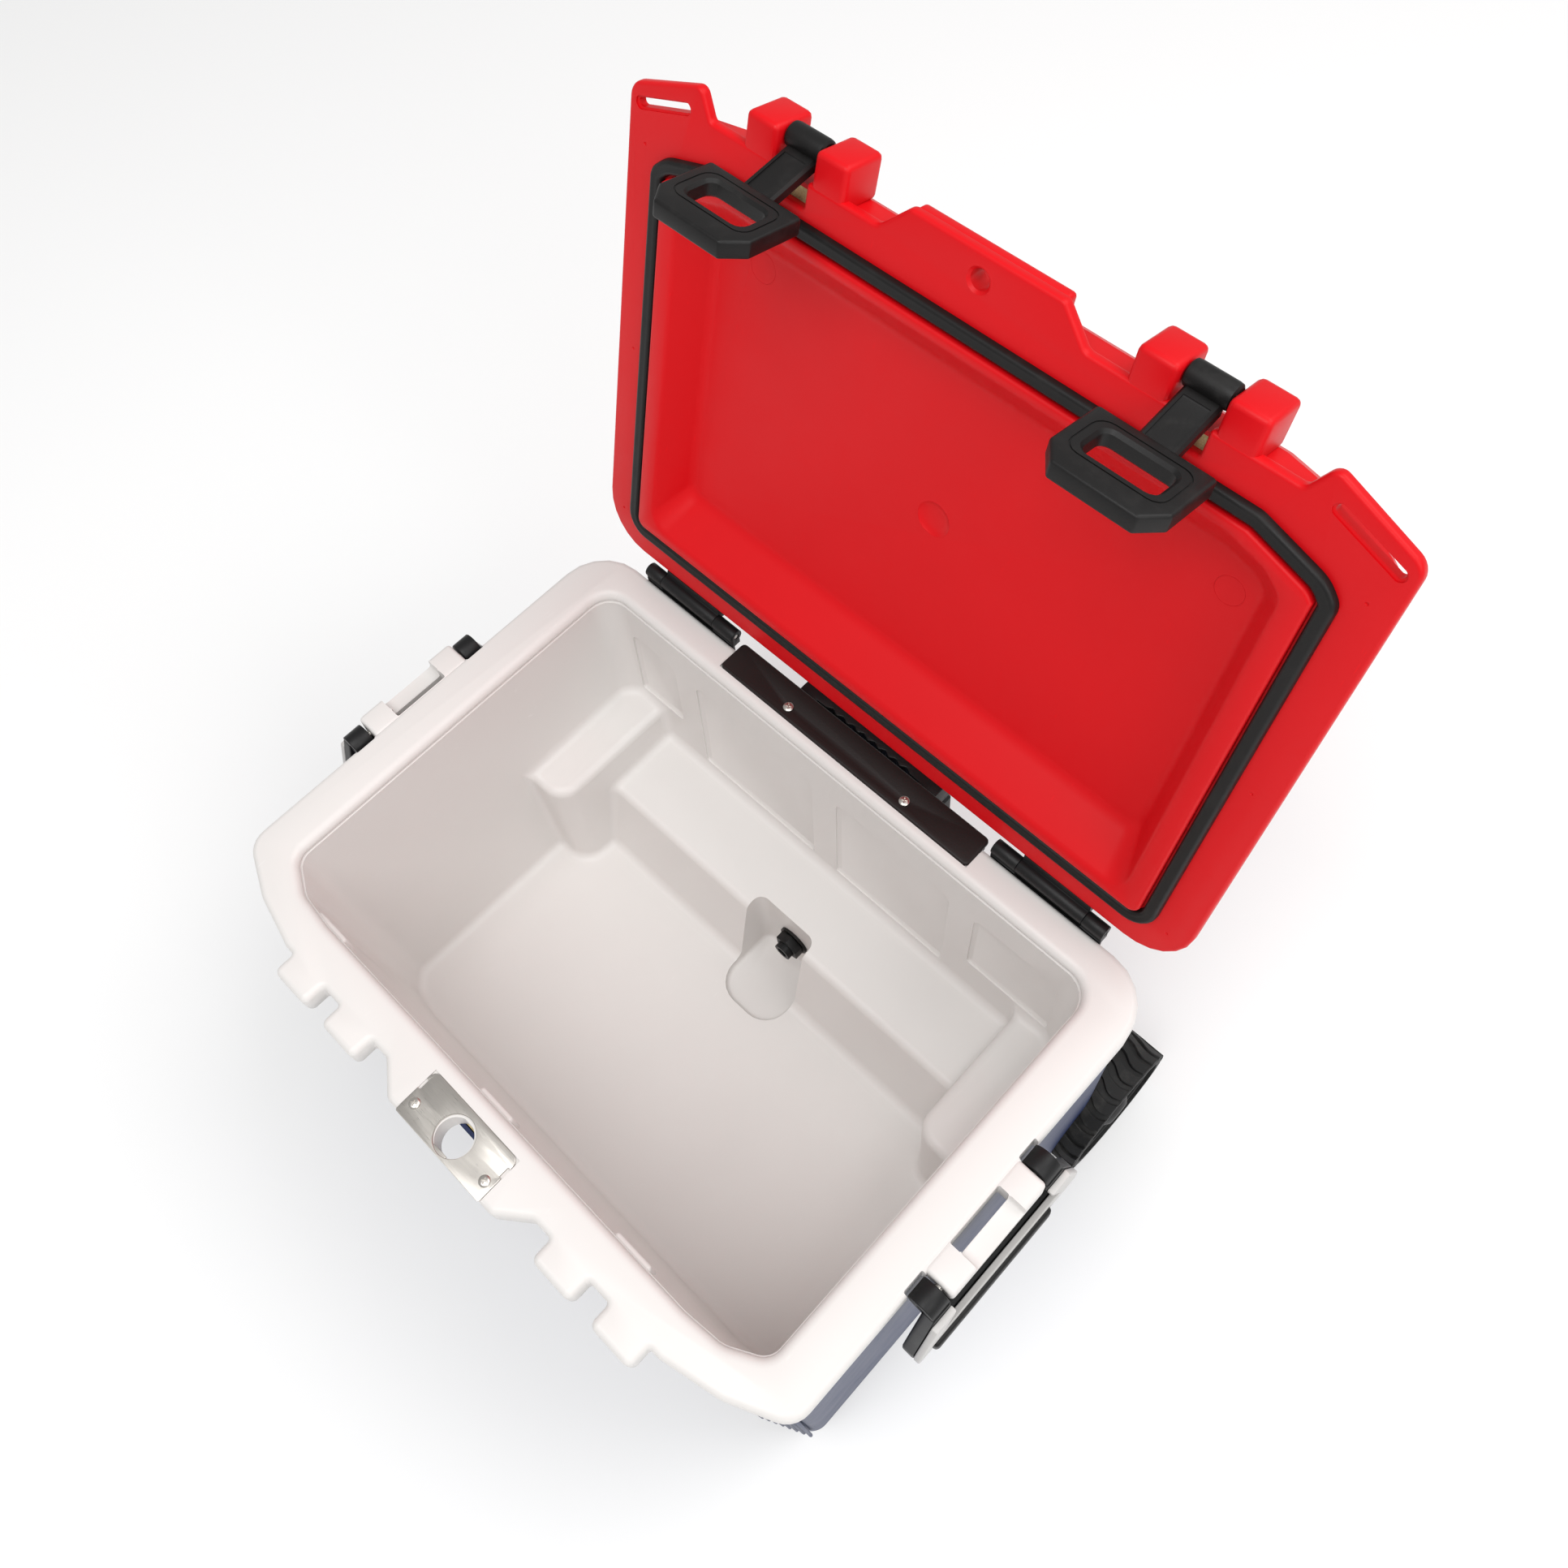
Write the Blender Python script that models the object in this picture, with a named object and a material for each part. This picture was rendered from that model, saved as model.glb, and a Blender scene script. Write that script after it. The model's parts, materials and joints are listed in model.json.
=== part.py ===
"""A family cooler on wheels, built as separate solids in metres, +Z up, front toward -Y.

Plan positions on the box are written as a depth: the distance forward of the rim's back edge.
Lid positions are written as (x, v, w): v is the distance from the hinge axis along the lid's
underside, and w the height below that underside when the lid is shut.
"""
import math

import bmesh
import bpy
from mathutils import Matrix, Vector

# ---------------------------------------------------------------- driving dimensions
GAP = 0.0003                 # clearance between pieces that touch
FOAM_ROOM = 0.001            # clearance round the foam cores
RIM_HALF = 0.310             # half the length of the white rim
RIM_FRONT = 0.430            # depth of the rim's front edge
RIM_TOP = 0.365              # height of the rim above the floor
RIM_SKIRT = 0.022            # height of the rim's edge
RIM_BACK_Y = 0.1428          # where the rim's back edge stands in Y
RIM_EDGE = 0.003             # chamfer round the rim

TAB_OUT = 0.449              # depth of the latch tabs' front faces
TAB_CENTRE = 0.154           # middle of each pair of tabs
TAB_GAP = 0.021              # space between the two tabs of a pair
TAB_WIDTH = 0.040            # width of one tab
NOSE_HALF = 0.060            # half width of the lock nose at its front
NOSE_ROOT = 0.085            # half width of the lock nose where it joins the rim

OPENING_HALF = 0.270         # half length of the mouth
OPENING_BACK = 0.031         # depth of the mouth's back wall
OPENING_FRONT = 0.3975       # depth of the mouth's front wall
TUB_DEPTH = 0.293            # rim top to tub floor
TUB_WALL = 0.003             # thickness of the inner tub
TUB_DRAFT = 0.014            # how far each wall leans in by the floor
LIP = 0.007                  # rounding of the mouth's edge

BODY_HALF = 0.306            # half length of the outer body
BODY_BACK = 0.004            # depth of the body's back wall
BODY_FRONT = 0.424           # depth of the body's front wall
BODY_FLOOR = 0.025           # ground clearance under the body
BODY_WALL = 0.003            # thickness of the outer body
BODY_DRAFT = 0.004           # how far the body narrows by its floor

WHEEL_RADIUS = 0.067
WHEEL_WIDTH = 0.046
WHEEL_X = 0.300              # middle plane of each wheel
WHEEL_DEPTH = 0.010          # depth of the axle
WELL_ROOM = 0.008            # space round each wheel in its well
AXLE_RADIUS = 0.006
HUB_RADIUS = 0.056
TREAD_BLOCKS = 24
TREAD_DEPTH = 0.0025

BUMP_INNER = 0.217           # inner face of the wheel-well bump inside the tub
BUMP_FRONT = 0.175           # depth of that bump's front face
BUMP_TOP = 0.150             # how far below the rim it ends
STEP_FOOT = 0.138            # depth of the axle step where it meets the floor
STEP_EDGE = 0.118            # depth of the axle step's top edge
STEP_TOP = 0.200             # how far below the rim the step's top edge is
SUMP_LEFT = -0.034
SUMP_RIGHT = 0.037
SUMP_BACK = 0.100
SUMP_FRONT = 0.175
SUMP_DROP = 0.008            # how far the sump lies under the floor

DRAIN_X = 0.006
DRAIN_BELOW = 0.250          # drain centre below the rim top
DRAIN_RADIUS = 0.009
DRAIN_BORE = 0.0055
DRAIN_FLANGE = 0.016
DRAIN_CAP_RADIUS = 0.015

HINGE_BEHIND = 0.006         # hinge axis behind the rim's back edge
HINGE_RISE = 0.0065          # hinge axis above the rim top
LID_OPEN = math.radians(105.85)
KNUCKLE_RADIUS = 0.0065
KNUCKLE_ENDS = (0.1435, 0.1675, 0.232, 0.251)
HINGE_PIN = 0.002
LEAF = 0.0027                # thickness of the hinge leaves

LID_HALF = 0.3065
LID_BACK = 0.0122            # back edge of the lid's flange, from the hinge axis
LID_FRONT = 0.431            # front edge of the flange between the blocks
LID_NOSE = 0.4538            # front edge of the lid's middle tab
LID_FLANGE = 0.008           # thickness of the lid's flange
LID_HEIGHT = 0.045           # underside to top of the lid
LID_WALL = 0.003
COVER_SET_BACK = 0.0085      # how far the lid's top stands in from its flange at the sides
PAN_DEPTH = 0.0235           # how far the lid's hollow rises above its underside
PLUG_RING = 0.007            # how far the plug ring hangs below the underside
GASKET_HALF = 0.2775
GASKET_FRONT = 0.405
GASKET_BACK = 0.036
GASKET_WIDTH = 0.0115
GASKET_HEIGHT = 0.0062

BLOCK_WIDTH = 0.028
BLOCK_FRONT = 0.455
BLOCK_BACK = 0.425
BLOCK_HEIGHT = 0.036
LATCH_ROOM = 0.033           # space between the two blocks of a pair
LATCH_X = 0.1545
LATCH_PIVOT_V = 0.447
LATCH_PIVOT_W = -0.015
LATCH_EYE = 0.009
LATCH_PIN = 0.0025
LATCH_NECK_WIDTH = 0.026
LATCH_NECK_THICK = 0.010
LATCH_NECK_LEAN = math.radians(20)
LATCH_GRIP_WIDTH = 0.081
LATCH_GRIP_HEIGHT = 0.062
LATCH_GRIP_THICK = 0.013
LATCH_GRIP_TOP = 0.047       # pivot to the top of the grip

LOCK_HALF = 0.048
LOCK_BACK = 0.410
LOCK_FRONT = 0.4495
LOCK_THICK = 0.0018
LOCK_HOLE = 0.0162
LOCK_HOLE_DEPTH = 0.4315
LOCK_SCREW = (0.0405, 0.4366)
SCREW_HEAD = 0.0045
SCREW_SHANK = 0.0017
SCREW_LENGTH = 0.012

REAR_HALF = 0.137
REAR_FRONT = 0.0212
REAR_BEHIND = 0.0085
REAR_SCREW = (0.0645, 0.012)

EAR_OUT = 0.333
EAR_BACK = 0.164
EAR_FRONT = 0.265
EAR_HEIGHT = 0.024
LINER_SEAM = 0.0245          # how far below the rim top the liner's rim meets its tub
EAR_WINDOW = (0.3085, 0.3183, 0.1875, 0.240)
EAR_BAR_DROP = 0.011         # top of the tie-down bar below the rim top
BAIL_X = 0.321
BAIL_DROP = 0.012            # bail pivot below the rim top
BAIL_EYE = 0.0118
BAIL_PIN = 0.003
BAIL_BACK = (0.146, 0.163)
BAIL_FRONT = (0.267, 0.285)
BAIL_SPREAD = 0.0205         # how far each arm splays out by its foot
BAIL_REACH = 0.098           # rim top down to the foot of the bail
BAIL_IN = 0.323
BAIL_OUT = 0.334
TRIM_THICK = 0.0052
GRIP_OUT = 0.343

PULL_X = 0.066
PULL_BEHIND = 0.022          # rods behind the rim's back edge
PULL_ROD = 0.006
PULL_SLEEVE = 0.008
PULL_GUIDE_HALF = 0.011
PULL_GRIP_TOP = 0.012        # top of the pull grip below the rim top
PULL_GRIP_HEIGHT = 0.026
PULL_GRIP_FRONT = 0.014
PULL_GRIP_BACK = 0.036
PULL_FOOT = 0.340            # rim top down to the foot of the guides
FINGER_WAVES = 8
FINGER_PITCH = 0.0118
FINGER_WAVE = 0.0014

HINGE_AXIS = Vector((0.0, RIM_BACK_Y + HINGE_BEHIND, RIM_TOP + HINGE_RISE))
TUB_FLOOR = RIM_TOP - TUB_DEPTH
RIM_UNDER = RIM_TOP - RIM_SKIRT
AXLE = Vector((0.0, RIM_BACK_Y - WHEEL_DEPTH, WHEEL_RADIUS))
DRAIN_Z = RIM_TOP - DRAIN_BELOW

LOOKS = {
    "navy_plastic": (0.020, 0.045, 0.160),
    "white_plastic": (0.780, 0.750, 0.720),
    "red_plastic": (0.640, 0.015, 0.022),
    "black_plastic": (0.020, 0.020, 0.022),
    "black_rubber": (0.016, 0.015, 0.014),
    "brown_plastic": (0.028, 0.018, 0.016),
    "grey_plastic": (0.560, 0.540, 0.520),
    "steel": (0.550, 0.520, 0.480),
    "foam": (0.800, 0.720, 0.420),
    "tyre": (0.022, 0.022, 0.021),
}


# ---------------------------------------------------------------- outlines
def back(depth):
    """Y of a point this far forward of the rim's back edge."""
    return RIM_BACK_Y - depth


def plan(corners):
    """Turn (x, depth, radius) corners into (x, y, radius) corners."""
    return [(x, back(depth), radius) for x, depth, radius in corners]


def lid_plan(corners):
    """Turn (x, v, radius) corners of the shut lid into (x, y, radius) corners."""
    return [(x, HINGE_AXIS.y - v, radius) for x, v, radius in corners]


def lid_z(w):
    """Height of a point w below the shut lid's underside."""
    return HINGE_AXIS.z - w


def mirrored(corners):
    """Close an outline from its right half, given front to back."""
    left = [(-x, y, radius) for x, y, radius in reversed(corners)]
    return corners + left


def inset(corners, distance):
    """Move every side of an anticlockwise outline inward, or outward when negative."""
    moved = []
    count = len(corners)
    for index, (x, y, radius) in enumerate(corners):
        here = Vector((x, y))
        arriving = (here - Vector(corners[index - 1][:2])).normalized()
        leaving = (Vector(corners[(index + 1) % count][:2]) - here).normalized()
        first = Vector((-arriving.y, arriving.x))
        second = Vector((-leaving.y, leaving.x))
        shift = (first + second) * (distance / (1.0 + first.dot(second)))
        outward_corner = arriving.cross(leaving) > 0
        new_radius = radius - distance if outward_corner else radius + distance
        moved.append((x + shift.x, y + shift.y, max(new_radius, 0.0004)))
    return moved


def rounded(corners, steps=3):
    """Replace each corner with an arc of its radius."""
    points = []
    count = len(corners)
    for index, (x, y, radius) in enumerate(corners):
        here = Vector((x, y))
        before = (Vector(corners[index - 1][:2]) - here).normalized()
        after = (Vector(corners[(index + 1) % count][:2]) - here).normalized()
        half = before.angle(after) / 2
        middle = here + (before + after).normalized() * (radius / math.sin(half))
        start = here + before * (radius / math.tan(half)) - middle
        end = here + after * (radius / math.tan(half)) - middle
        sweep = start.angle_signed(end)
        for step in range(steps + 1):
            turned = start.copy()
            turned.rotate(Matrix.Rotation(-sweep * step / steps, 2))
            points.append(middle + turned)
    return points


# ---------------------------------------------------------------- solids
def material(look):
    """The named look as a Principled material, made once."""
    found = bpy.data.materials.get(look)
    if found:
        return found
    made = bpy.data.materials.new(look)
    made.use_nodes = True
    shader = made.node_tree.nodes["Principled BSDF"]
    shader.inputs["Base Color"].default_value = (*LOOKS[look], 1.0)
    shader.inputs["Roughness"].default_value = 0.3 if look == "steel" else 0.5
    shader.inputs["Metallic"].default_value = 1.0 if look == "steel" else 0.0
    return made


def make_object(name, verts, faces, look):
    mesh = bpy.data.meshes.new(name)
    mesh.from_pydata([tuple(vert) for vert in verts], [], faces)
    shape = bmesh.new()
    shape.from_mesh(mesh)
    bmesh.ops.recalc_face_normals(shape, faces=shape.faces)
    shape.to_mesh(mesh)
    shape.free()
    obj = bpy.data.objects.new(name, mesh)
    bpy.context.scene.collection.objects.link(obj)
    if look:
        mesh.materials.append(material(look))
    return obj


def sweep_rings(name, rings, look, closed=False):
    """Join rings of equal length into one solid; a closed sweep ends where it began."""
    size = len(rings[0])
    count = len(rings)
    verts = [point for ring in rings for point in ring]
    faces = []
    for level in range(count if closed else count - 1):
        low = level * size
        high = ((level + 1) % count) * size
        for index in range(size):
            beside = (index + 1) % size
            faces.append((low + index, low + beside, high + beside, high + index))
    if not closed:
        faces.append(tuple(range(size)))
        faces.append(tuple(range((count - 1) * size, count * size)))
    return make_object(name, verts, faces, look)


def turned_to(axis, a, b, along):
    """A point from its two plan coordinates and its distance along X, Y or Z."""
    if axis == "X":
        return Vector((along, a, b))
    if axis == "Y":
        return Vector((a, along, b))
    return Vector((a, b, along))


def prism(name, corners, sections, look=None, axis="Z", steps=3):
    """Loft an outline through (distance along the axis, inset) sections."""
    rings = []
    for along, distance in sections:
        outline = rounded(inset(corners, distance), steps)
        rings.append([turned_to(axis, point.x, point.y, along) for point in outline])
    return sweep_rings(name, rings, look)


def band(name, corners, section, look, steps=3):
    """A ring of constant section: each (inset, z) pair is one edge running round the outline."""
    rings = []
    for distance, height in section:
        outline = rounded(inset(corners, distance), steps)
        rings.append([Vector((point.x, point.y, height)) for point in outline])
    return sweep_rings(name, rings, look, closed=True)


def block(name, low, high, look=None, soften=0.0):
    """A box between two corners, with its edges softened if asked."""
    (x0, y0, z0), (x1, y1, z1) = low, high
    corners = [(x0, y0, 0.0), (x1, y0, 0.0), (x1, y1, 0.0), (x0, y1, 0.0)]
    rings = [[Vector((x, y, z)) for x, y, _ in corners] for z in (z0, z1)]
    made = sweep_rings(name, rings, look)
    if soften:
        soften_edges(made, soften)
    return made


def lathe(name, profile, centre, axis, look=None, segments=20, ring=False):
    """Turn a (radius, distance along the axis) profile; a ring profile never meets the axis."""
    rings = []
    for step in range(segments):
        angle = 2 * math.pi * (step + 0.5) / segments
        spin = (math.cos(angle), math.sin(angle))
        rings.append([turned_to(axis, radius * spin[0], radius * spin[1], along) + Vector(centre)
                      for radius, along in profile])
    verts = [point for one in rings for point in one]
    size = len(profile)
    faces = []
    spans = range(size) if ring else range(size - 1)
    for step in range(segments):
        low = step * size
        high = ((step + 1) % segments) * size
        for index in spans:
            beside = (index + 1) % size
            faces.append((low + index, low + beside, high + beside, high + index))
    made = make_object(name, verts, faces, look)
    shape = bmesh.new()
    shape.from_mesh(made.data)
    bmesh.ops.remove_doubles(shape, verts=shape.verts, dist=1e-6)
    bmesh.ops.dissolve_degenerate(shape, edges=shape.edges, dist=1e-6)
    bmesh.ops.recalc_face_normals(shape, faces=shape.faces)
    shape.to_mesh(made.data)
    shape.free()
    return made


def rod(name, radius, centre, axis, low, high, look=None, segments=16):
    """A plain cylinder between two distances along an axis."""
    profile = [(0.0, low), (radius, low), (radius, high), (0.0, high)]
    return lathe(name, profile, centre, axis, look, segments)


def apply_modifier(obj, modifier):
    bpy.context.view_layer.objects.active = obj
    bpy.ops.object.modifier_apply(modifier=modifier.name)


def soften_edges(obj, width, segments=2):
    """Bevel the sharp edges of a piece."""
    bevel = obj.modifiers.new("Soft edges", "BEVEL")
    bevel.width = width
    bevel.segments = segments
    bevel.limit_method = "ANGLE"
    bevel.angle_limit = math.radians(35)
    apply_modifier(obj, bevel)
    return obj


def combine(obj, tools, operation):
    for tool in tools:
        boolean = obj.modifiers.new(operation.title(), "BOOLEAN")
        boolean.operation = operation
        boolean.solver = "EXACT"
        boolean.object = tool
        apply_modifier(obj, boolean)
        bpy.data.objects.remove(tool, do_unlink=True)
    return obj


def cut(obj, *tools):
    """Take each tool's volume out of the piece."""
    return combine(obj, tools, "DIFFERENCE")


def add(obj, *tools):
    """Join each tool's volume to the piece."""
    return combine(obj, tools, "UNION")


def smooth(obj, degrees=32):
    """Shade a piece's gentle edges smooth and keep its corners crisp."""
    bpy.ops.object.select_all(action="DESELECT")
    obj.select_set(True)
    bpy.context.view_layer.objects.active = obj
    bpy.ops.object.shade_smooth_by_angle(angle=math.radians(degrees))
    return obj


def set_pivot(obj, point):
    """Put the piece's origin on its joint's axis."""
    obj.data.transform(Matrix.Translation(-Vector(point)))
    obj.location = Vector(point)
    return obj


def hang_on_lid(obj, pivot=None):
    """Turn a piece that was drawn on the shut lid to the open lid."""
    pivot = Vector(pivot or HINGE_AXIS)
    set_pivot(obj, pivot)
    opened = Matrix.Rotation(-LID_OPEN, 4, "X")
    obj.location = HINGE_AXIS + opened @ (pivot - HINGE_AXIS)
    obj.rotation_euler = (-LID_OPEN, 0.0, 0.0)
    return smooth(obj)


# ---------------------------------------------------------------- the box
def tab_edges():
    """The four edges of the right pair of latch tabs, from the middle outward."""
    inner = TAB_CENTRE - TAB_GAP / 2
    outer = TAB_CENTRE + TAB_GAP / 2
    return inner - TAB_WIDTH, inner, outer, outer + TAB_WIDTH


def rim_corners():
    """Outer outline of the white rim."""
    first, second, third, fourth = tab_edges()
    half = [(NOSE_HALF, TAB_OUT, 0.005), (NOSE_ROOT, RIM_FRONT, 0.006)]
    for start, end in ((first, second), (third, fourth)):
        half += [(start, RIM_FRONT, 0.003), (start, TAB_OUT, 0.004)]
        half += [(end, TAB_OUT, 0.004), (end, RIM_FRONT, 0.003)]
    half += [(fourth + 0.010, RIM_FRONT, 0.006), (RIM_HALF - 0.048, RIM_FRONT - 0.011, 0.030)]
    half += [(RIM_HALF, RIM_FRONT - 0.033, 0.022), (RIM_HALF, 0.0, 0.045)]
    return mirrored(plan(half))


def mouth_corners(narrow):
    """Outline of the tub at one level: narrow is how far its walls lean in there."""
    half = [(OPENING_HALF - 0.065, OPENING_FRONT - narrow, 0.020),
            (OPENING_HALF - 0.030, OPENING_FRONT - 0.0035 - narrow, 0.030),
            (OPENING_HALF - narrow, OPENING_FRONT - 0.0195 - narrow, 0.014),
            (OPENING_HALF - narrow, OPENING_BACK + narrow, 0.019)]
    return mirrored(plan(half))


def body_corners():
    """Outer outline of the body at its top."""
    half = [(BODY_HALF - 0.094, BODY_FRONT, 0.012), (BODY_HALF - 0.046, BODY_FRONT - 0.0105, 0.040),
            (BODY_HALF, BODY_FRONT - 0.032, 0.020), (BODY_HALF, BODY_BACK, 0.042)]
    return mirrored(plan(half))


def tub_solid(name, grow, top, look=None):
    """The tub's hollow, grown by a wall thickness, up to a height."""
    foot = TUB_FLOOR - grow
    rings = []
    for height, narrow, shrink in ((foot, TUB_DRAFT, 0.006), (foot + 0.006, TUB_DRAFT, 0.0),
                                   (RIM_TOP - LIP, 0.0, 0.0)):
        outline = rounded(inset(mouth_corners(narrow), shrink - grow))
        rings.append([Vector((point.x, point.y, height)) for point in outline])
    if top > RIM_TOP:
        for height, widen in ((RIM_TOP - 0.002, 0.0018), (RIM_TOP, 0.0062), (top, 0.0080)):
            outline = rounded(inset(mouth_corners(0.0), -widen - grow))
            rings.append([Vector((point.x, point.y, height)) for point in outline])
    else:
        rings[-1] = [Vector((point.x, point.y, top)) for point in rings[-1]]
    solid = sweep_rings(name, rings, look)
    for side in (-1, 1):
        inner = BUMP_INNER + grow
        corners = [(inner, back(BUMP_FRONT - grow), 0.018), (0.330, back(BUMP_FRONT - grow), 0.001),
                   (0.330, back(-0.030), 0.001), (inner, back(-0.030), 0.001)]
        if side < 0:
            corners = [(-x, y, radius) for x, y, radius in reversed(corners)]
        ceiling = RIM_TOP - BUMP_TOP - grow
        cut(solid, prism("bump", corners, [(foot - 0.02, 0.0), (ceiling - 0.012, 0.0), (ceiling, 0.010)]))
    lean = (STEP_FOOT - STEP_EDGE) / (TUB_DEPTH - STEP_TOP)
    under = foot - 0.02
    step = [(back(-0.030), under, 0.001),
            (back(STEP_EDGE - grow + lean * (RIM_TOP - STEP_TOP - under)), under, 0.001),
            (back(STEP_EDGE - grow), RIM_TOP - STEP_TOP - grow, 0.006),
            (back(-0.030), RIM_TOP - STEP_TOP - grow + 0.008, 0.001)]
    step = [(y, z, radius) for y, z, radius in reversed(step)]
    cut(solid, prism("step", step, [(-0.235, 0.0), (0.235, 0.0)], axis="X"))
    sump = plan([(SUMP_LEFT - grow, SUMP_FRONT + grow, 0.026), (SUMP_RIGHT + grow, SUMP_FRONT + grow, 0.026),
                 (SUMP_RIGHT + grow, SUMP_BACK - grow, 0.008), (SUMP_LEFT - grow, SUMP_BACK - grow, 0.008)])
    sump_foot = foot - SUMP_DROP
    sections = [(sump_foot, 0.004), (sump_foot + 0.004, 0.0), (RIM_TOP - STEP_TOP + 0.014, 0.0)]
    return add(solid, prism("sump", sump, sections))


def body_solid(name, shrink, top, look=None):
    """The outer body's volume, drawn in by a wall thickness, with wheel wells and axle channel."""
    foot = BODY_FLOOR + shrink
    sections = [(foot, BODY_DRAFT + 0.006 + shrink), (foot + 0.007, BODY_DRAFT + shrink), (top, shrink)]
    solid = prism(name, body_corners(), sections, look)
    room = WHEEL_RADIUS + WELL_ROOM + shrink
    inner = WHEEL_X - WHEEL_WIDTH / 2 - 0.015 - shrink
    for side in (-1, 1):
        ends = sorted((side * inner, side * (BODY_HALF + 0.030)))
        cut(solid, rod("well", room, AXLE, "X", ends[0], ends[1], segments=40))
    reach = AXLE_RADIUS + 0.004 + shrink
    channel = block("channel", (-inner - 0.01, AXLE.y - AXLE_RADIUS - 0.003 - shrink, AXLE.z - reach),
                    (inner + 0.01, back(-0.02), AXLE.z + reach))
    return cut(solid, channel)


def build_box():
    tub = prism("inner_tub", rim_corners(), [(RIM_UNDER, 0.0), (RIM_TOP - RIM_EDGE, 0.0),
                                             (RIM_TOP, RIM_EDGE)], "white_plastic", steps=2)
    for side in (-1, 1):
        low_x, high_x = sorted((side * (BODY_HALF + 2 * GAP), side * EAR_OUT))
        add(tub, block("ear", (low_x, back(EAR_FRONT), RIM_TOP - EAR_HEIGHT),
                       (high_x, back(EAR_BACK), RIM_TOP - 0.0006), soften=0.003))
        for start, end in (BAIL_BACK, BAIL_FRONT):
            low_x, high_x = sorted((side * (RIM_HALF - 0.0035), side * (RIM_HALF + 0.03)))
            cut(tub, block("knuckle room", (low_x, back(end + 0.0008), RIM_UNDER - 0.01),
                           (high_x, back(start - 0.0008), RIM_TOP + 0.01)))
        inner, outer, start, end = EAR_WINDOW
        low_x, high_x = sorted((side * inner, side * outer))
        cut(tub, block("window", (low_x, back(end), RIM_UNDER - 0.01), (high_x, back(start), RIM_TOP + 0.01)))
        low_x, high_x = sorted((side * (outer - 0.001), side * (EAR_OUT + 0.01)))
        cut(tub, block("bar top", (low_x, back(end), RIM_TOP - EAR_BAR_DROP),
                       (high_x, back(start), RIM_TOP + 0.01)))
        pin_hole = BAIL_PIN + GAP
        cut(tub, rod("pin hole", pin_hole, (side * BAIL_X, 0.0, RIM_TOP - BAIL_DROP), "Y",
                     back(EAR_FRONT + 0.01), back(EAR_WINDOW[3] + 0.006), segments=16))
        cut(tub, rod("pin hole", pin_hole, (side * BAIL_X, 0.0, RIM_TOP - BAIL_DROP), "Y",
                     back(EAR_WINDOW[2] - 0.006), back(EAR_BACK - 0.01), segments=16))
    add(tub, tub_solid("tub wall", TUB_WALL, RIM_TOP - 0.010))
    cut(tub, tub_solid("tub hollow", 0.0, RIM_TOP + 0.001))
    cut(tub, block("lock seat", (-LOCK_HALF - GAP, back(TAB_OUT + 0.01), RIM_TOP - 0.0015),
                   (LOCK_HALF + GAP, back(LOCK_BACK - GAP), RIM_TOP + 0.01)))
    lock_hole = rod("lock hole", LOCK_HOLE - 0.0012, (0.0, back(LOCK_HOLE_DEPTH - 0.0008), 0.0), "Z",
                    RIM_UNDER - 0.01, RIM_TOP + 0.01, segments=32)
    cut(tub, lock_hole)
    cut(tub, block("cover seat", (-REAR_HALF - GAP, back(REAR_FRONT + GAP), RIM_TOP - 0.0025),
                   (REAR_HALF + GAP, back(-0.01), RIM_TOP + 0.01)))
    for x, depth in (LOCK_SCREW, REAR_SCREW):
        for side in (-1, 1):
            cut(tub, rod("screw hole", SCREW_SHANK + GAP, (side * x, back(depth), 0.0), "Z",
                         RIM_TOP - SCREW_LENGTH - 0.001, RIM_TOP + 0.01, segments=12))
    body = body_solid("body_shell", 0.0, RIM_UNDER - GAP, "navy_plastic")
    cut(body, body_solid("body hollow", BODY_WALL, RIM_TOP))
    foam = body_solid("body_foam", BODY_WALL + FOAM_ROOM, RIM_UNDER - FOAM_ROOM, "foam")
    cut(foam, tub_solid("foam hollow", TUB_WALL + FOAM_ROOM, RIM_TOP - 0.008))
    for piece in (tub, body, foam):
        cut(piece, rod("drain hole", DRAIN_RADIUS + GAP, (DRAIN_X, 0.0, DRAIN_Z), "Y",
                       back(SUMP_BACK + 0.004), back(-0.01)))
        smooth(piece)
    rim = tub.copy()
    rim.data = tub.data.copy()
    rim.name = "rim_frame"
    bpy.context.scene.collection.objects.link(rim)
    seam = RIM_TOP - LINER_SEAM
    cut(tub, block("above the seam", (-0.5, -0.5, seam - GAP), (0.5, 0.5, RIM_TOP + 0.1)))
    cut(rim, block("below the seam", (-0.5, -0.5, -0.1), (0.5, 0.5, seam)))


def build_feet():
    for side, name in ((-1, "left"), (1, "right")):
        low_x, high_x = sorted((side * 0.215, side * 0.278))
        smooth(block(f"foot_{name}", (low_x, back(0.392), 0.0), (high_x, back(0.352), BODY_FLOOR - GAP),
                     "black_rubber", soften=0.004))


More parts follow.
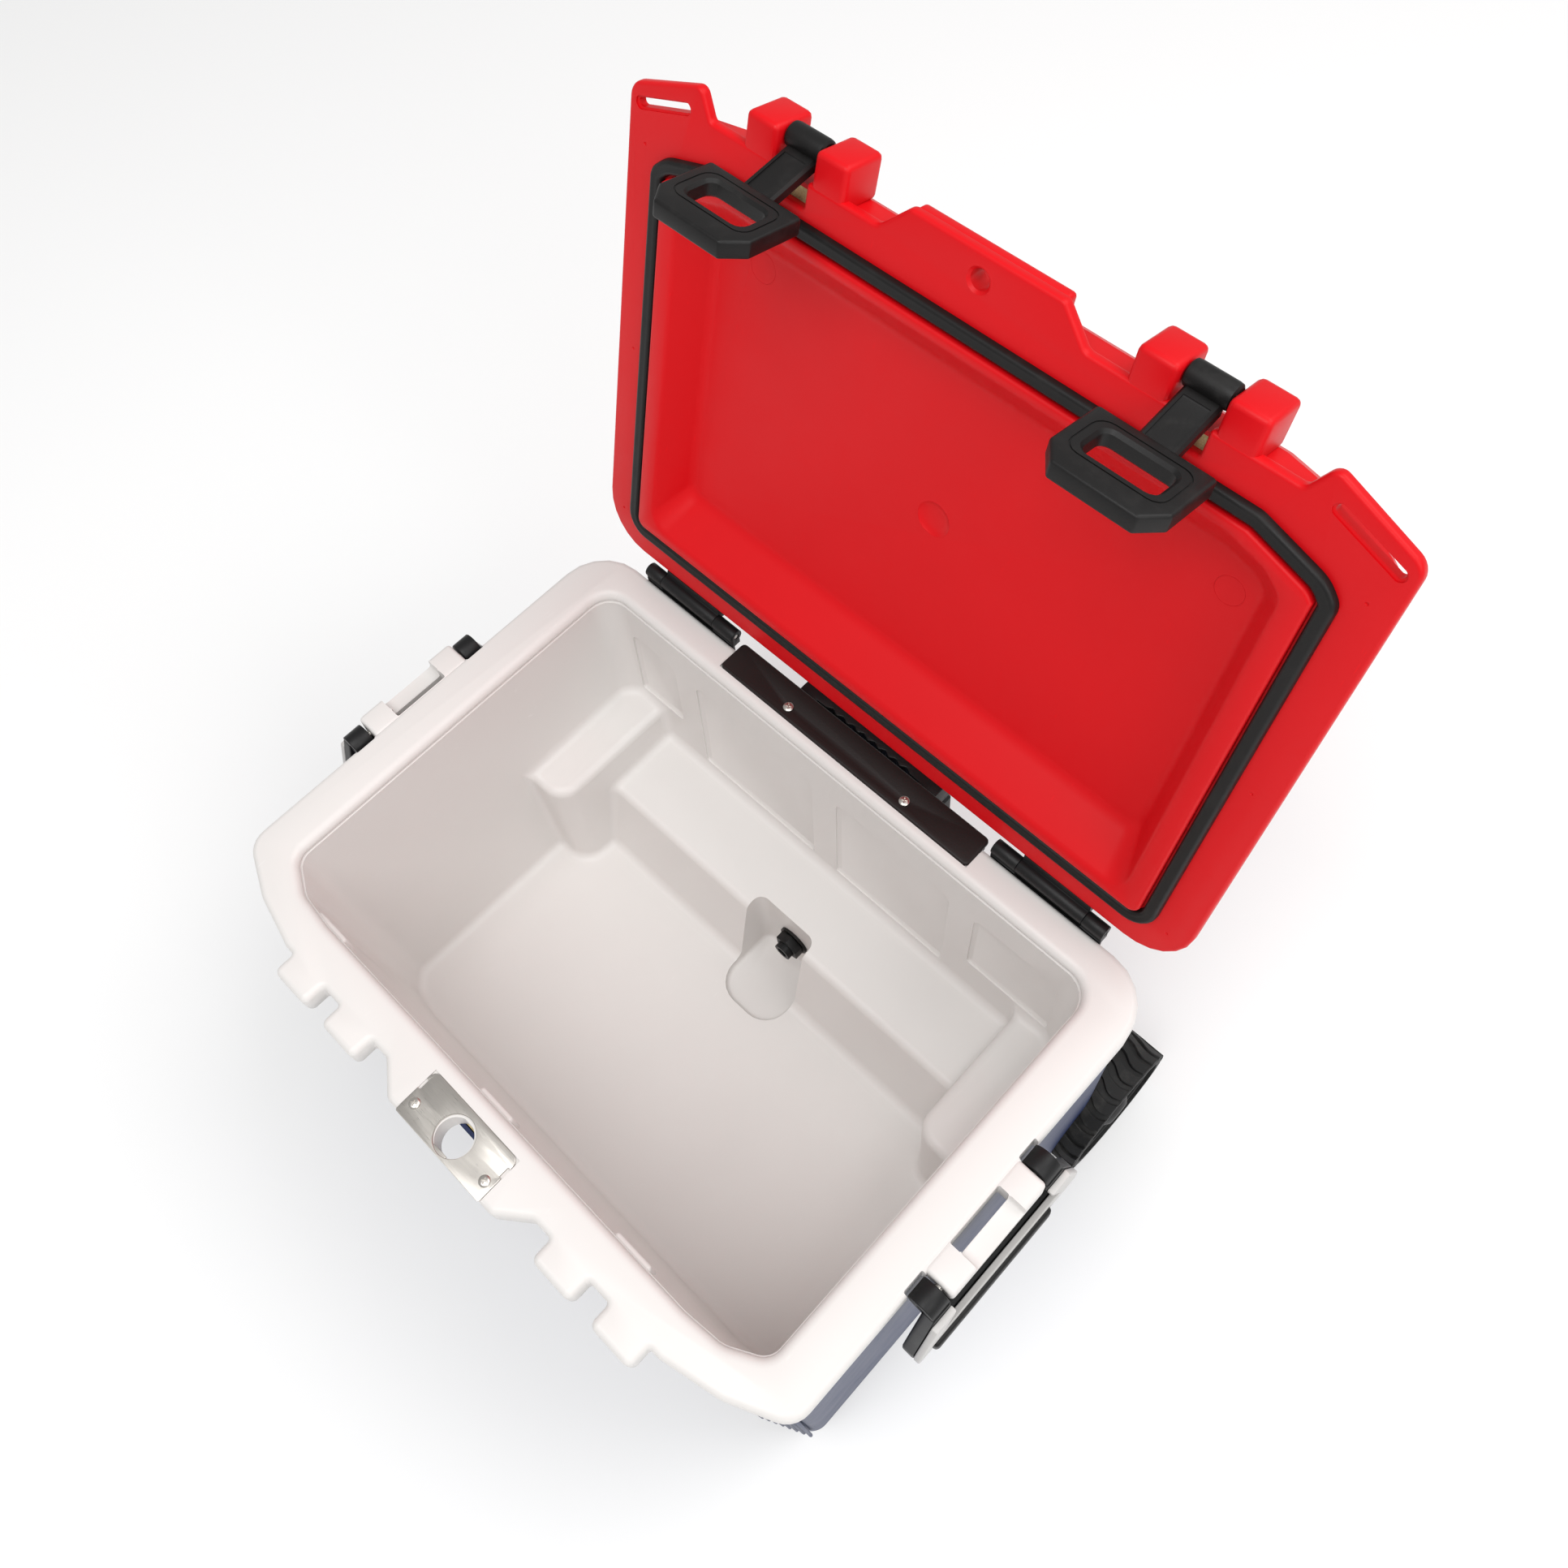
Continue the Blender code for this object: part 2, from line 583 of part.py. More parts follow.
def build_drain():
    centre = (DRAIN_X, 0.0, DRAIN_Z)
    outlet = back(BODY_BACK) + GAP
    tube = [(DRAIN_BORE, back(0.118)), (DRAIN_RADIUS, back(0.118)), (DRAIN_RADIUS, outlet),
            (DRAIN_FLANGE, outlet), (DRAIN_FLANGE, outlet + 0.003), (DRAIN_RADIUS - 0.0005, outlet + 0.003),
            (DRAIN_RADIUS - 0.0005, outlet + 0.014), (DRAIN_BORE, outlet + 0.014)]
    smooth(lathe("drain_tube", tube, centre, "Y", "black_plastic", ring=True))
    seat = back(SUMP_BACK) - GAP
    clear = DRAIN_RADIUS + GAP
    washer = [(clear, seat - 0.0025), (DRAIN_FLANGE, seat - 0.0025), (DRAIN_FLANGE, seat), (clear, seat)]
    smooth(lathe("drain_seal", washer, centre, "Y", "black_rubber", ring=True))
    nut_face = seat - 0.0025 - GAP
    nut = lathe("drain_nut", [(0.0, nut_face - 0.009), (0.0145, nut_face - 0.009), (0.0145, nut_face),
                              (0.0, nut_face)], centre, "Y", "black_plastic", segments=6)
    cut(nut, rod("bore", clear, centre, "Y", nut_face - 0.02, nut_face + 0.01))
    smooth(nut)
    first = outlet + 0.003 + GAP
    cap = [(0.0, first + 0.016), (DRAIN_CAP_RADIUS - 0.002, first + 0.016), (DRAIN_CAP_RADIUS, first + 0.014),
           (DRAIN_CAP_RADIUS, first), (DRAIN_RADIUS, first), (DRAIN_RADIUS, first + 0.0125),
           (0.0, first + 0.0125)]
    made = lathe("drain_cap", cap, centre, "Y", "black_plastic")
    smooth(set_pivot(made, (DRAIN_X, first, DRAIN_Z)))


def build_screw(name, x, depth, seat):
    """A domed screw with a cross in its head, standing on a plate at height seat."""
    profile = [(0.0, RIM_TOP - SCREW_LENGTH), (SCREW_SHANK, RIM_TOP - SCREW_LENGTH), (SCREW_SHANK, seat + GAP),
               (SCREW_HEAD, seat + GAP), (SCREW_HEAD, seat + 0.0010), (SCREW_HEAD * 0.7, seat + 0.0019),
               (0.0, seat + 0.0021)]
    screw = lathe(name, profile, (x, back(depth), 0.0), "Z", "steel", segments=18)
    for long_x in (True, False):
        wide, narrow = (0.0022, 0.0004) if long_x else (0.0004, 0.0022)
        cut(screw, block("slot", (x - wide, back(depth) - narrow, seat + 0.0011),
                         (x + wide, back(depth) + narrow, seat + 0.004)))
    return smooth(screw)


def build_lock_plate():
    seat = RIM_TOP - 0.0015 + GAP
    top = seat + LOCK_THICK
    half = [(LOCK_HALF, LOCK_FRONT, 0.002), (LOCK_HALF, 0.4275, 0.0006), (LOCK_HALF - 0.0022, 0.4275, 0.0006),
            (LOCK_HALF - 0.0022, 0.4185, 0.0006), (LOCK_HALF, 0.4185, 0.0006), (LOCK_HALF, LOCK_BACK, 0.005)]
    plate = prism("lock_plate", mirrored(plan(half)), [(seat, 0.0), (top - 0.0003, 0.0), (top, 0.0003)], "steel")
    cut(plate, rod("opener", LOCK_HOLE, (0.0, back(LOCK_HOLE_DEPTH), 0.0), "Z", seat - 0.01, top + 0.01,
                   segments=36))
    tooth = block("tooth", (-0.006, back(LOCK_HOLE_DEPTH + LOCK_HOLE + 0.0008), seat),
                  (0.006, back(LOCK_HOLE_DEPTH + LOCK_HOLE - 0.0028), top - 0.0003))
    add(plate, tooth)
    x, depth = LOCK_SCREW
    for side, name in ((-1, "left"), (1, "right")):
        cut(plate, rod("screw hole", SCREW_SHANK + GAP, (side * x, back(depth), 0.0), "Z", seat - 0.01,
                       top + 0.01, segments=12))
        build_screw(f"lock_plate_screw_{name}", side * x, depth, top)
    smooth(plate)


def build_rear_cover():
    seat = RIM_TOP - 0.0025 + GAP
    top = RIM_TOP + 0.002
    corners = plan([(-REAR_HALF, REAR_FRONT, 0.004), (REAR_HALF, REAR_FRONT, 0.004),
                    (REAR_HALF, -REAR_BEHIND, 0.004), (-REAR_HALF, -REAR_BEHIND, 0.004)])
    cover = prism("rear_cover", corners, [(seat, 0.0), (top - 0.001, 0.0), (top, 0.001)], "brown_plastic")
    add(cover, block("skirt", (-REAR_HALF + 0.004, back(-REAR_BEHIND + 0.004), RIM_UNDER),
                     (REAR_HALF - 0.004, back(-REAR_BEHIND + 0.0002), seat + 0.001)))
    x, depth = REAR_SCREW
    for side, name in ((-1, "left"), (1, "right")):
        cut(cover, rod("screw hole", SCREW_SHANK + GAP, (side * x, back(depth), 0.0), "Z", seat - 0.01,
                       top + 0.01, segments=12))
        build_screw(f"rear_cover_screw_{name}", side * x, depth, top)
    smooth(cover)


# ---------------------------------------------------------------- lid
def flange_corners():
    """Outline of the lid's flange, with a notch for each latch neck."""
    notch = LATCH_NECK_WIDTH / 2 + 0.0008
    half = [(NOSE_HALF - 0.001, LID_NOSE, 0.004), (NOSE_ROOT - 0.004, LID_FRONT, 0.006),
            (LATCH_X - notch, LID_FRONT, 0.001), (LATCH_X - notch, LID_FRONT - 0.019, 0.001),
            (LATCH_X + notch, LID_FRONT - 0.019, 0.001), (LATCH_X + notch, LID_FRONT, 0.001),
            (0.229, LID_FRONT, 0.004), (0.240, LID_NOSE - 0.002, 0.006),
            (LID_HALF, LID_FRONT - 0.004, 0.012), (LID_HALF, LID_BACK, 0.045)]
    return mirrored(lid_plan(half))


def gasket_corners():
    half = [(GASKET_HALF - 0.062, GASKET_FRONT, 0.020), (GASKET_HALF - 0.012, GASKET_FRONT - 0.015, 0.030),
            (GASKET_HALF, GASKET_FRONT - 0.027, 0.014), (GASKET_HALF, GASKET_BACK, 0.022)]
    return mirrored(lid_plan(half))


def pan_corners(level):
    """Outline of the lid's hollow: 0 at its mouth, 1 at its floor."""
    mouth = [(0.203, 0.384, 0.020), (0.232, 0.376, 0.020), (0.2475, 0.364, 0.014), (0.2475, 0.060, 0.018)]
    floor = [(0.200, 0.352, 0.020), (0.222, 0.3465, 0.020), (0.232, 0.338, 0.010), (0.232, 0.091, 0.012)]
    half = [tuple(a + (b - a) * level for a, b in zip(one, other)) for one, other in zip(mouth, floor)]
    return mirrored(lid_plan(half))


def pan_solid(name, grow, collar=0.0):
    """The lid's hollow, grown by a wall thickness, with a straight collar past its mouth if asked."""
    rings = []
    levels = [(PLUG_RING + collar, 0.0)] if collar else []
    levels += [(PLUG_RING, 0.0), (-PAN_DEPTH - grow, 1.0)]
    for w, level in levels:
        outline = rounded(inset(pan_corners(level), -grow))
        rings.append([Vector((point.x, point.y, lid_z(w))) for point in outline])
    return sweep_rings(name, rings, None)


def cover_corners():
    """Outline of the lid's top shell where it stands on the flange."""
    reach = LID_HALF - COVER_SET_BACK
    half = [(reach - 0.093, BLOCK_BACK - GAP - 0.0005, 0.020), (reach - 0.036, BLOCK_BACK - 0.012, 0.030),
            (reach, BLOCK_BACK - 0.033, 0.030), (reach, LID_BACK + LEAF + 0.0051, 0.040)]
    return mirrored(lid_plan(half))


def latch_centres():
    return ((-1, "left", -LATCH_X), (1, "right", LATCH_X))


def build_lid():
    panel = prism("lid_panel", flange_corners(), [(lid_z(0.0), 0.0), (lid_z(-LID_FLANGE), 0.0)], "red_plastic", steps=2)
    ring = inset(gasket_corners(), GASKET_WIDTH + 0.0015)
    add(panel, prism("plug ring", ring, [(lid_z(-0.002), 0.0), (lid_z(PLUG_RING - 0.002), 0.0),
                                         (lid_z(PLUG_RING + 0.0004), 0.002)]))
    add(panel, pan_solid("pan wall", LID_WALL))
    cut(panel, pan_solid("pan hollow", 0.0, collar=0.01))
    for _, _, centre in latch_centres():
        for side in (-1, 1):
            middle = centre + side * (LATCH_ROOM + BLOCK_WIDTH) / 2
            add(panel, block("boss", (middle - BLOCK_WIDTH / 2, HINGE_AXIS.y - BLOCK_FRONT, lid_z(-0.0007)),
                             (middle + BLOCK_WIDTH / 2, HINGE_AXIS.y - BLOCK_BACK, lid_z(-BLOCK_HEIGHT)),
                             soften=0.0035))
        pivot = (centre, HINGE_AXIS.y - LATCH_PIVOT_V, lid_z(LATCH_PIVOT_W))
        reach = LATCH_ROOM / 2 + 0.009
        cut(panel, rod("pin hole", LATCH_PIN + GAP, pivot, "X", -reach, reach, segments=16))
    cut(panel, rod("padlock hole", 0.008, (0.0, HINGE_AXIS.y - 0.4354, 0.0), "Z", lid_z(0.02), lid_z(-0.02)))
    for side in (-1, 1):
        slot = [(-0.026, -0.00325, 0.003), (0.026, -0.00325, 0.003), (0.026, 0.00325, 0.003),
                (-0.026, 0.00325, 0.003)]
        tool = prism("tie-down slot", slot, [(-0.02, 0.0), (0.02, 0.0)])
        turn = Matrix.Rotation(side * math.atan2(0.0167, 0.049), 4, "Z")
        place = Matrix.Translation((side * 0.2735, HINGE_AXIS.y - 0.4233, lid_z(0.0)))
        tool.data.transform(place @ turn)
        cut(panel, tool)
    hang_on_lid(panel)

    low = lid_z(-LID_FLANGE - GAP)
    sections = [(low, 0.0), (lid_z(-LID_HEIGHT + 0.014), 0.001), (lid_z(-LID_HEIGHT + 0.005), 0.006),
                (lid_z(-LID_HEIGHT + 0.001), 0.013), (lid_z(-LID_HEIGHT), 0.020)]
    cover = prism("lid_cover", cover_corners(), sections, "red_plastic")
    inner = [(low - 0.01, LID_WALL), (sections[1][0], LID_WALL + 0.001), (sections[2][0] - 0.002, LID_WALL + 0.006),
             (lid_z(-LID_HEIGHT + LID_WALL), LID_WALL + 0.014)]
    cut(cover, prism("cover hollow", cover_corners(), inner))
    hang_on_lid(cover)

    fit = LID_WALL + FOAM_ROOM
    sections = [(low + FOAM_ROOM, fit), (inner[1][0], fit + 0.001), (inner[2][0] - FOAM_ROOM, fit + 0.006),
                (inner[3][0] - FOAM_ROOM, fit + 0.014)]
    foam = prism("lid_foam", cover_corners(), sections, "foam")
    cut(foam, pan_solid("foam hollow", LID_WALL + FOAM_ROOM))
    hang_on_lid(foam)

    top, low = lid_z(GAP), lid_z(GASKET_HEIGHT)
    section = [(0.0, top), (0.0005, low + 0.002), (0.003, low), (GASKET_WIDTH - 0.003, low),
               (GASKET_WIDTH - 0.0005, low + 0.002), (GASKET_WIDTH, top)]
    hang_on_lid(band("lid_gasket", gasket_corners(), section, "black_rubber"))


def build_latches():
    """Each latch is drawn about its pivot, then hung on the open lid."""
    for _, name, centre in latch_centres():
        pivot = Vector((centre, HINGE_AXIS.y - LATCH_PIVOT_V, lid_z(LATCH_PIVOT_W)))
        eye_half = LATCH_ROOM / 2 - 0.0005
        latch = rod(f"latch_{name}", LATCH_EYE, (0.0, 0.0, 0.0), "X", -eye_half, eye_half, "black_rubber")
        lean = math.tan(LATCH_NECK_LEAN)
        front = [(0.0025, -0.004), (0.0025 + lean * (LATCH_GRIP_TOP + 0.001), -LATCH_GRIP_TOP - 0.005)]
        neck = [(front[0][0], front[0][1], 0.0005), (front[0][0] + LATCH_NECK_THICK, front[0][1], 0.0005),
                (front[1][0] + LATCH_NECK_THICK, front[1][1], 0.0005), (front[1][0], front[1][1], 0.0005)]
        half = LATCH_NECK_WIDTH / 2
        add(latch, prism("neck", list(reversed(neck)), [(-half, 0.0015), (-half + 0.0015, 0.0),
                                                        (half - 0.0015, 0.0), (half, 0.0015)], axis="X", steps=1))
        half = LATCH_GRIP_WIDTH / 2
        foot = -LATCH_GRIP_TOP - LATCH_GRIP_HEIGHT
        grip = [(-half + 0.012, foot, 0.002), (half - 0.012, foot, 0.002), (half, foot + 0.016, 0.002),
                (half, -LATCH_GRIP_TOP, 0.0015), (-half, -LATCH_GRIP_TOP, 0.0015), (-half, foot + 0.016, 0.002)]
        face = 0.016
        sections = [(face, 0.0012), (face + 0.0012, 0.0), (face + LATCH_GRIP_THICK - 0.0012, 0.0),
                    (face + LATCH_GRIP_THICK, 0.0012)]
        add(latch, prism("grip", grip, sections, axis="Y", steps=2))
        hole = [(-0.025, -0.040 - LATCH_GRIP_TOP, 0.005), (0.025, -0.040 - LATCH_GRIP_TOP, 0.005),
                (0.025, -0.014 - LATCH_GRIP_TOP, 0.005), (-0.025, -0.014 - LATCH_GRIP_TOP, 0.005)]
        cut(latch, prism("finger hole", hole, [(0.0, 0.0), (0.05, 0.0)], axis="Y", steps=2))
        cut(latch, rod("pin bore", LATCH_PIN + GAP, (0.0, 0.0, 0.0), "X", -0.03, 0.03, segments=16))
        latch.data.transform(Matrix.Translation(pivot))
        hang_on_lid(latch, pivot)
        reach = LATCH_ROOM / 2 + 0.0085
        pin = rod(f"latch_pin_{name}", LATCH_PIN, pivot, "X", -reach, reach, "steel", segments=16)
        hang_on_lid(pin, pivot)


def build_hinges():
    first, second, third, fourth = KNUCKLE_ENDS
    for side, name in ((-1, "left"), (1, "right")):
        low_x, high_x = sorted((side * first, side * fourth))
        base = block(f"hinge_base_{name}", (low_x, back(-GAP), RIM_TOP - 0.0215),
                     (high_x, back(-GAP - LEAF), RIM_TOP - 0.001), "black_plastic")
        for start, end in ((first, second), (third, fourth)):
            low, high = sorted((side * start, side * end))
            add(base, block("web", (low, back(-GAP - 0.0002), RIM_TOP - 0.005),
                            (high, back(-0.0095), RIM_TOP + 0.004)))
            add(base, rod("knuckle", KNUCKLE_RADIUS, HINGE_AXIS, "X", low, high))
        low, high = sorted((side * (second + GAP), side * (third - GAP)))
        cut(base, rod("clear", KNUCKLE_RADIUS + 0.0008, HINGE_AXIS, "X", low - 0.00015, high + 0.00015))
        cut(base, rod("bore", HINGE_PIN + GAP, HINGE_AXIS, "X", low_x - 0.01, high_x + 0.01, segments=12))
        smooth(base)
        leaf = rod(f"hinge_leaf_{name}", KNUCKLE_RADIUS, HINGE_AXIS, "X", low, high, "black_plastic")
        add(leaf, block("web", (low, HINGE_AXIS.y - LID_BACK + GAP, lid_z(-0.001)),
                        (high, HINGE_AXIS.y - 0.001, lid_z(-LID_FLANGE - GAP - LEAF))))
        add(leaf, block("strip", (low_x, HINGE_AXIS.y - LID_BACK - LEAF - 0.0045, lid_z(-LID_FLANGE - GAP)),
                        (high_x, HINGE_AXIS.y - 0.004, lid_z(-LID_FLANGE - GAP - LEAF))))
        cut(leaf, rod("bore", HINGE_PIN + GAP, HINGE_AXIS, "X", low_x - 0.01, high_x + 0.01, segments=12))
        hang_on_lid(leaf)
        smooth(rod(f"hinge_pin_{name}", HINGE_PIN, HINGE_AXIS, "X", low_x + 0.0005, high_x - 0.0005,
                   "steel", segments=12))


# ---------------------------------------------------------------- handles
def bail_corners():
    """Side view of a bail as (y, z) corners: a U with its arms splayed toward the foot."""
    top = RIM_TOP - BAIL_DROP
    foot = RIM_TOP - BAIL_REACH
    bar = foot + 0.020
    outer_back, inner_back = BAIL_BACK
    inner_front, outer_front = BAIL_FRONT
    spread = BAIL_SPREAD
    shape = [(back(outer_front), top, 0.0015), (back(outer_front + spread), bar, 0.004),
             (back(outer_front + spread), foot + 0.004, 0.003), (back(outer_front + spread - 0.005), foot, 0.003),
             (back(outer_back - spread + 0.005), foot, 0.003), (back(outer_back - spread), foot + 0.004, 0.003),
             (back(outer_back - spread), bar, 0.004), (back(outer_back), top, 0.0015),
             (back(inner_back), top, 0.0015), (back(inner_back), top - 0.014, 0.003),
             (back(inner_back - spread + 0.004), bar, 0.004), (back(inner_front + spread - 0.004), bar, 0.004),
             (back(inner_front), top - 0.014, 0.003), (back(inner_front), top, 0.0015)]
    return shape


def build_side_handles():
    for side, name in ((-1, "left"), (1, "right")):
        axis = Vector((side * BAIL_X, 0.0, RIM_TOP - BAIL_DROP))
        middle = Vector((side * BAIL_X, back((EAR_BACK + EAR_FRONT) / 2), axis.z))

        def span(inner, outer):
            return sorted((side * inner, side * outer))

        shape = bail_corners()
        low, high = span(BAIL_IN, BAIL_OUT)
        bail = prism(f"side_bail_{name}", shape, [(low, 0.0008), (low + 0.0008, 0.0), (high - 0.0008, 0.0),
                                                  (high, 0.0008)], "black_plastic", axis="X", steps=1)
        for start, end in (BAIL_BACK, BAIL_FRONT):
            add(bail, rod("eye", BAIL_EYE, axis, "Y", back(end - 0.0002), back(start + 0.0002)))
            cut(bail, rod("pin bore", BAIL_PIN + GAP, axis, "Y", back(end + 0.01), back(start - 0.01),
                          segments=16))
        foot = RIM_TOP - BAIL_REACH
        low, high = span(BAIL_OUT + GAP, BAIL_OUT + GAP + TRIM_THICK)
        trim = prism(f"side_trim_{name}", shape, [(low, 0.0008 if side < 0 else 0.0), (low + 0.0008, 0.0),
                                                  (high - 0.0008, 0.0), (high, 0.0 if side < 0 else 0.0008)],
                     "grey_plastic", axis="X", steps=2)
        cut(trim, block("trim top", (low - 0.01, back(0.40), RIM_TOP - BAIL_DROP - 0.010),
                        (high + 0.01, back(0.0), RIM_TOP + 0.02)))
        add(trim, block("web strip", (low, back(BAIL_FRONT[1] + BAIL_SPREAD - 0.008), foot + 0.016),
                        (high, back(BAIL_BACK[0] - BAIL_SPREAD + 0.008), foot + 0.026)))
        grip_low, grip_high = span(0.330, GRIP_OUT)
        grip_box = (back(0.290), foot - 0.004), (back(0.158), foot + 0.016)
        for piece in (bail, trim):
            cut(piece, block("grip room", (min(grip_low, grip_high) - (0.01 if side < 0 else GAP),
                                           grip_box[0][0] - GAP, grip_box[0][1] - 0.01),
                             (max(grip_low, grip_high) + (GAP if side < 0 else 0.01),
                              grip_box[1][0] + GAP, grip_box[1][1] + GAP)))
        grip = block(f"side_grip_{name}", (grip_low, grip_box[0][0], grip_box[0][1]),
                     (grip_high, grip_box[1][0], grip_box[1][1]), "black_rubber", soften=0.0035)
        for piece in (bail, trim, grip):
            smooth(set_pivot(piece, middle))
        pins = (("front", back(BAIL_FRONT[1] - 0.001), back(EAR_WINDOW[3] + 0.007)),
                ("back", back(EAR_WINDOW[2] - 0.007), back(BAIL_BACK[0] + 0.001)))
        for end_name, start, end in pins:
            smooth(rod(f"side_pin_{end_name}_{name}", BAIL_PIN, axis, "Y", start, end, "steel", segments=16))


def build_pull_handle():
    top = RIM_TOP - PULL_GRIP_TOP
    foot = top - PULL_GRIP_HEIGHT
    half = PULL_X + 0.010
    wave_half = FINGER_WAVES * FINGER_PITCH / 2
    front = [(-half, back(-PULL_GRIP_BACK)), (-half, back(-0.0092)), (-PULL_X + 0.0085, back(-0.0092)),
             (-PULL_X + 0.0085, back(-PULL_GRIP_FRONT))]
    for step in range(FINGER_WAVES * 6 + 1):
        x = -wave_half + step * FINGER_PITCH / 6
        dip = FINGER_WAVE * (1 - math.cos(2 * math.pi * step / 6))
        front.append((x, back(-PULL_GRIP_FRONT - dip)))
    front += [(PULL_X - 0.0085, back(-PULL_GRIP_FRONT)), (PULL_X - 0.0085, back(-0.0092)),
              (half, back(-0.0092)), (half, back(-PULL_GRIP_BACK))]
    rings = [[Vector((x, y, z)) for x, y in front] for z in (foot, top)]
    grip = sweep_rings("pull_grip", rings, "black_plastic")
    sleeve_foot = RIM_TOP - PULL_FOOT + 0.012
    for side, name in ((-1, "left"), (1, "right")):
        centre = (side * PULL_X, back(-PULL_BEHIND), 0.0)
        cut(grip, rod("socket", PULL_ROD + GAP, centre, "Z", foot - 0.01, foot + 0.0105))
        pull_rod = rod(f"pull_rod_{name}", PULL_ROD, centre, "Z", sleeve_foot + 0.002, foot + 0.010, "steel")
        smooth(set_pivot(pull_rod, (centre[0], centre[1], foot)))
        inner = PULL_ROD + GAP
        sleeve = [(inner, sleeve_foot), (PULL_SLEEVE, sleeve_foot), (PULL_SLEEVE, foot - 0.003),
                  (inner, foot - 0.003)]
        smooth(lathe(f"pull_sleeve_{name}", sleeve, centre, "Z", "steel", ring=True))
        guide = block(f"pull_guide_{name}",
                      (centre[0] - PULL_GUIDE_HALF, back(BODY_BACK) + GAP, RIM_TOP - PULL_FOOT),
                      (centre[0] + PULL_GUIDE_HALF, centre[1] + PULL_GUIDE_HALF + 0.001, foot - 0.004),
                      "black_plastic", soften=0.002)
        cut(guide, rod("bore", PULL_SLEEVE + GAP, centre, "Z", sleeve_foot - 0.004, foot + 0.01))
        smooth(guide)
    smooth(set_pivot(grip, (0.0, back(-PULL_BEHIND), foot)))


# ---------------------------------------------------------------- wheels
def build_wheels():
    half = WHEEL_WIDTH / 2
    bore = AXLE_RADIUS + GAP
    for side, name in ((-1, "left"), (1, "right")):
        centre = AXLE + Vector((side * WHEEL_X, 0.0, 0.0))
        inner_face = -side * (half - 0.003)
        disc = [(bore, inner_face), (0.018, inner_face), (0.018, -side * 0.006), (HUB_RADIUS - 0.006, -side * 0.006),
                (HUB_RADIUS - 0.006, inner_face), (HUB_RADIUS, inner_face), (HUB_RADIUS, side * (half - 0.003)),
                (HUB_RADIUS - 0.006, side * (half - 0.003)), (HUB_RADIUS - 0.009, side * 0.008),
                (0.022, side * 0.008), (0.020, side * 0.014), (bore, side * 0.014)]
        wheel = lathe(f"wheel_{name}", disc, centre, "X", "black_plastic", segments=24, ring=True)
        rings = []
        for along in (-half, half):
            ring = []
            for index in range(TREAD_BLOCKS * 4):
                groove = index % 4 == 3
                angle = 2 * math.pi * (index // 4 + (0.0, 0.40, 0.80, 0.90)[index % 4]) / TREAD_BLOCKS
                reach = WHEEL_RADIUS - (TREAD_DEPTH if groove else 0.0)
                ring.append(centre + Vector((along, reach * math.cos(angle), reach * math.sin(angle))))
            rings.append(ring)
        tyre = sweep_rings(f"tyre_{name}", rings, "tyre")
        cut(tyre, rod("hub room", HUB_RADIUS + GAP, centre, "X", -half - 0.01, half + 0.01, segments=40))
        face = side * (0.014 + GAP)
        cap_profile = [(0.0, side * (half + 0.0015)), (0.012, side * (half + 0.0008)),
                       (0.0175, side * (half - 0.003)), (0.0175, face), (bore, face),
                       (bore, side * 0.0179), (0.0, side * 0.0179)]
        cap = lathe(f"wheel_cap_{name}", cap_profile, centre, "X", "black_plastic")
        for piece in (wheel, tyre, cap):
            smooth(set_pivot(piece, centre))
        low, high = sorted((side * 0.205, side * 0.232))
        smooth(block(f"axle_clamp_{name}", (low, back(BODY_BACK) + GAP, AXLE.z - 0.020),
                     (high, back(BODY_BACK) + GAP + 0.004, AXLE.z + 0.020), "black_plastic", soften=0.001))
    axle_half = WHEEL_X + 0.0175
    smooth(rod("axle", AXLE_RADIUS, AXLE, "X", -axle_half, axle_half, "steel"))


def main():
    for old in list(bpy.data.objects):
        bpy.data.objects.remove(old, do_unlink=True)
    build_box()
    build_feet()
    build_drain()
    build_lock_plate()
    build_rear_cover()
    build_lid()
    build_latches()
    build_hinges()
    build_side_handles()
    build_pull_handle()
    build_wheels()


main()
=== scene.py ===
# %% [markdown]
# # A family cooler on wheels
# This lesson dresses a finished set of solids as a real cooler. The solids come from a CAD model, so
# every size is settled. Here they get softened edges, moulded ribs and finishes. First the model is
# loaded, and a helper is made that measures the box of any one of its solids. Nothing that follows
# may grow past it.

import json
import math

import bmesh
import bpy
from mathutils import Euler, Matrix, Vector


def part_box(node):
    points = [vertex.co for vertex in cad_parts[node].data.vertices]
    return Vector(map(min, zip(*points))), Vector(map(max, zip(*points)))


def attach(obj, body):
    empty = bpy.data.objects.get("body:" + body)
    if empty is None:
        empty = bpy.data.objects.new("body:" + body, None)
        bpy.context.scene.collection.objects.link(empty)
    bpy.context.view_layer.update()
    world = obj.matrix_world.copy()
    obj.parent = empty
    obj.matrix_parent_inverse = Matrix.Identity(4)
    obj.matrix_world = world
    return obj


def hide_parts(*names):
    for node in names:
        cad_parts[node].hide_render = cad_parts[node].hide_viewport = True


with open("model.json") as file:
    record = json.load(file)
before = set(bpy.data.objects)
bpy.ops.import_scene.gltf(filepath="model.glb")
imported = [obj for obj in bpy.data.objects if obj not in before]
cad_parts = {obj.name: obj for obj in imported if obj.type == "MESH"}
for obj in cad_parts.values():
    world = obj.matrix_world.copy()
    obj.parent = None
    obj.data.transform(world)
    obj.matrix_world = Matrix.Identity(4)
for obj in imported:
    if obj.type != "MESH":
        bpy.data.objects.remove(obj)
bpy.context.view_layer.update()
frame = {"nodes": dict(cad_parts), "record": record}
nodes = frame["nodes"]
record = frame["record"]
node_body = {node: body for body, members in record["behaviour"]["bodies"].items() for node in members}
joints = {joint["name"]: joint for joint in record["behaviour"]["joints"]}
node_slot = {part["node"]: part["material_slot"] for part in record["subparts"]}

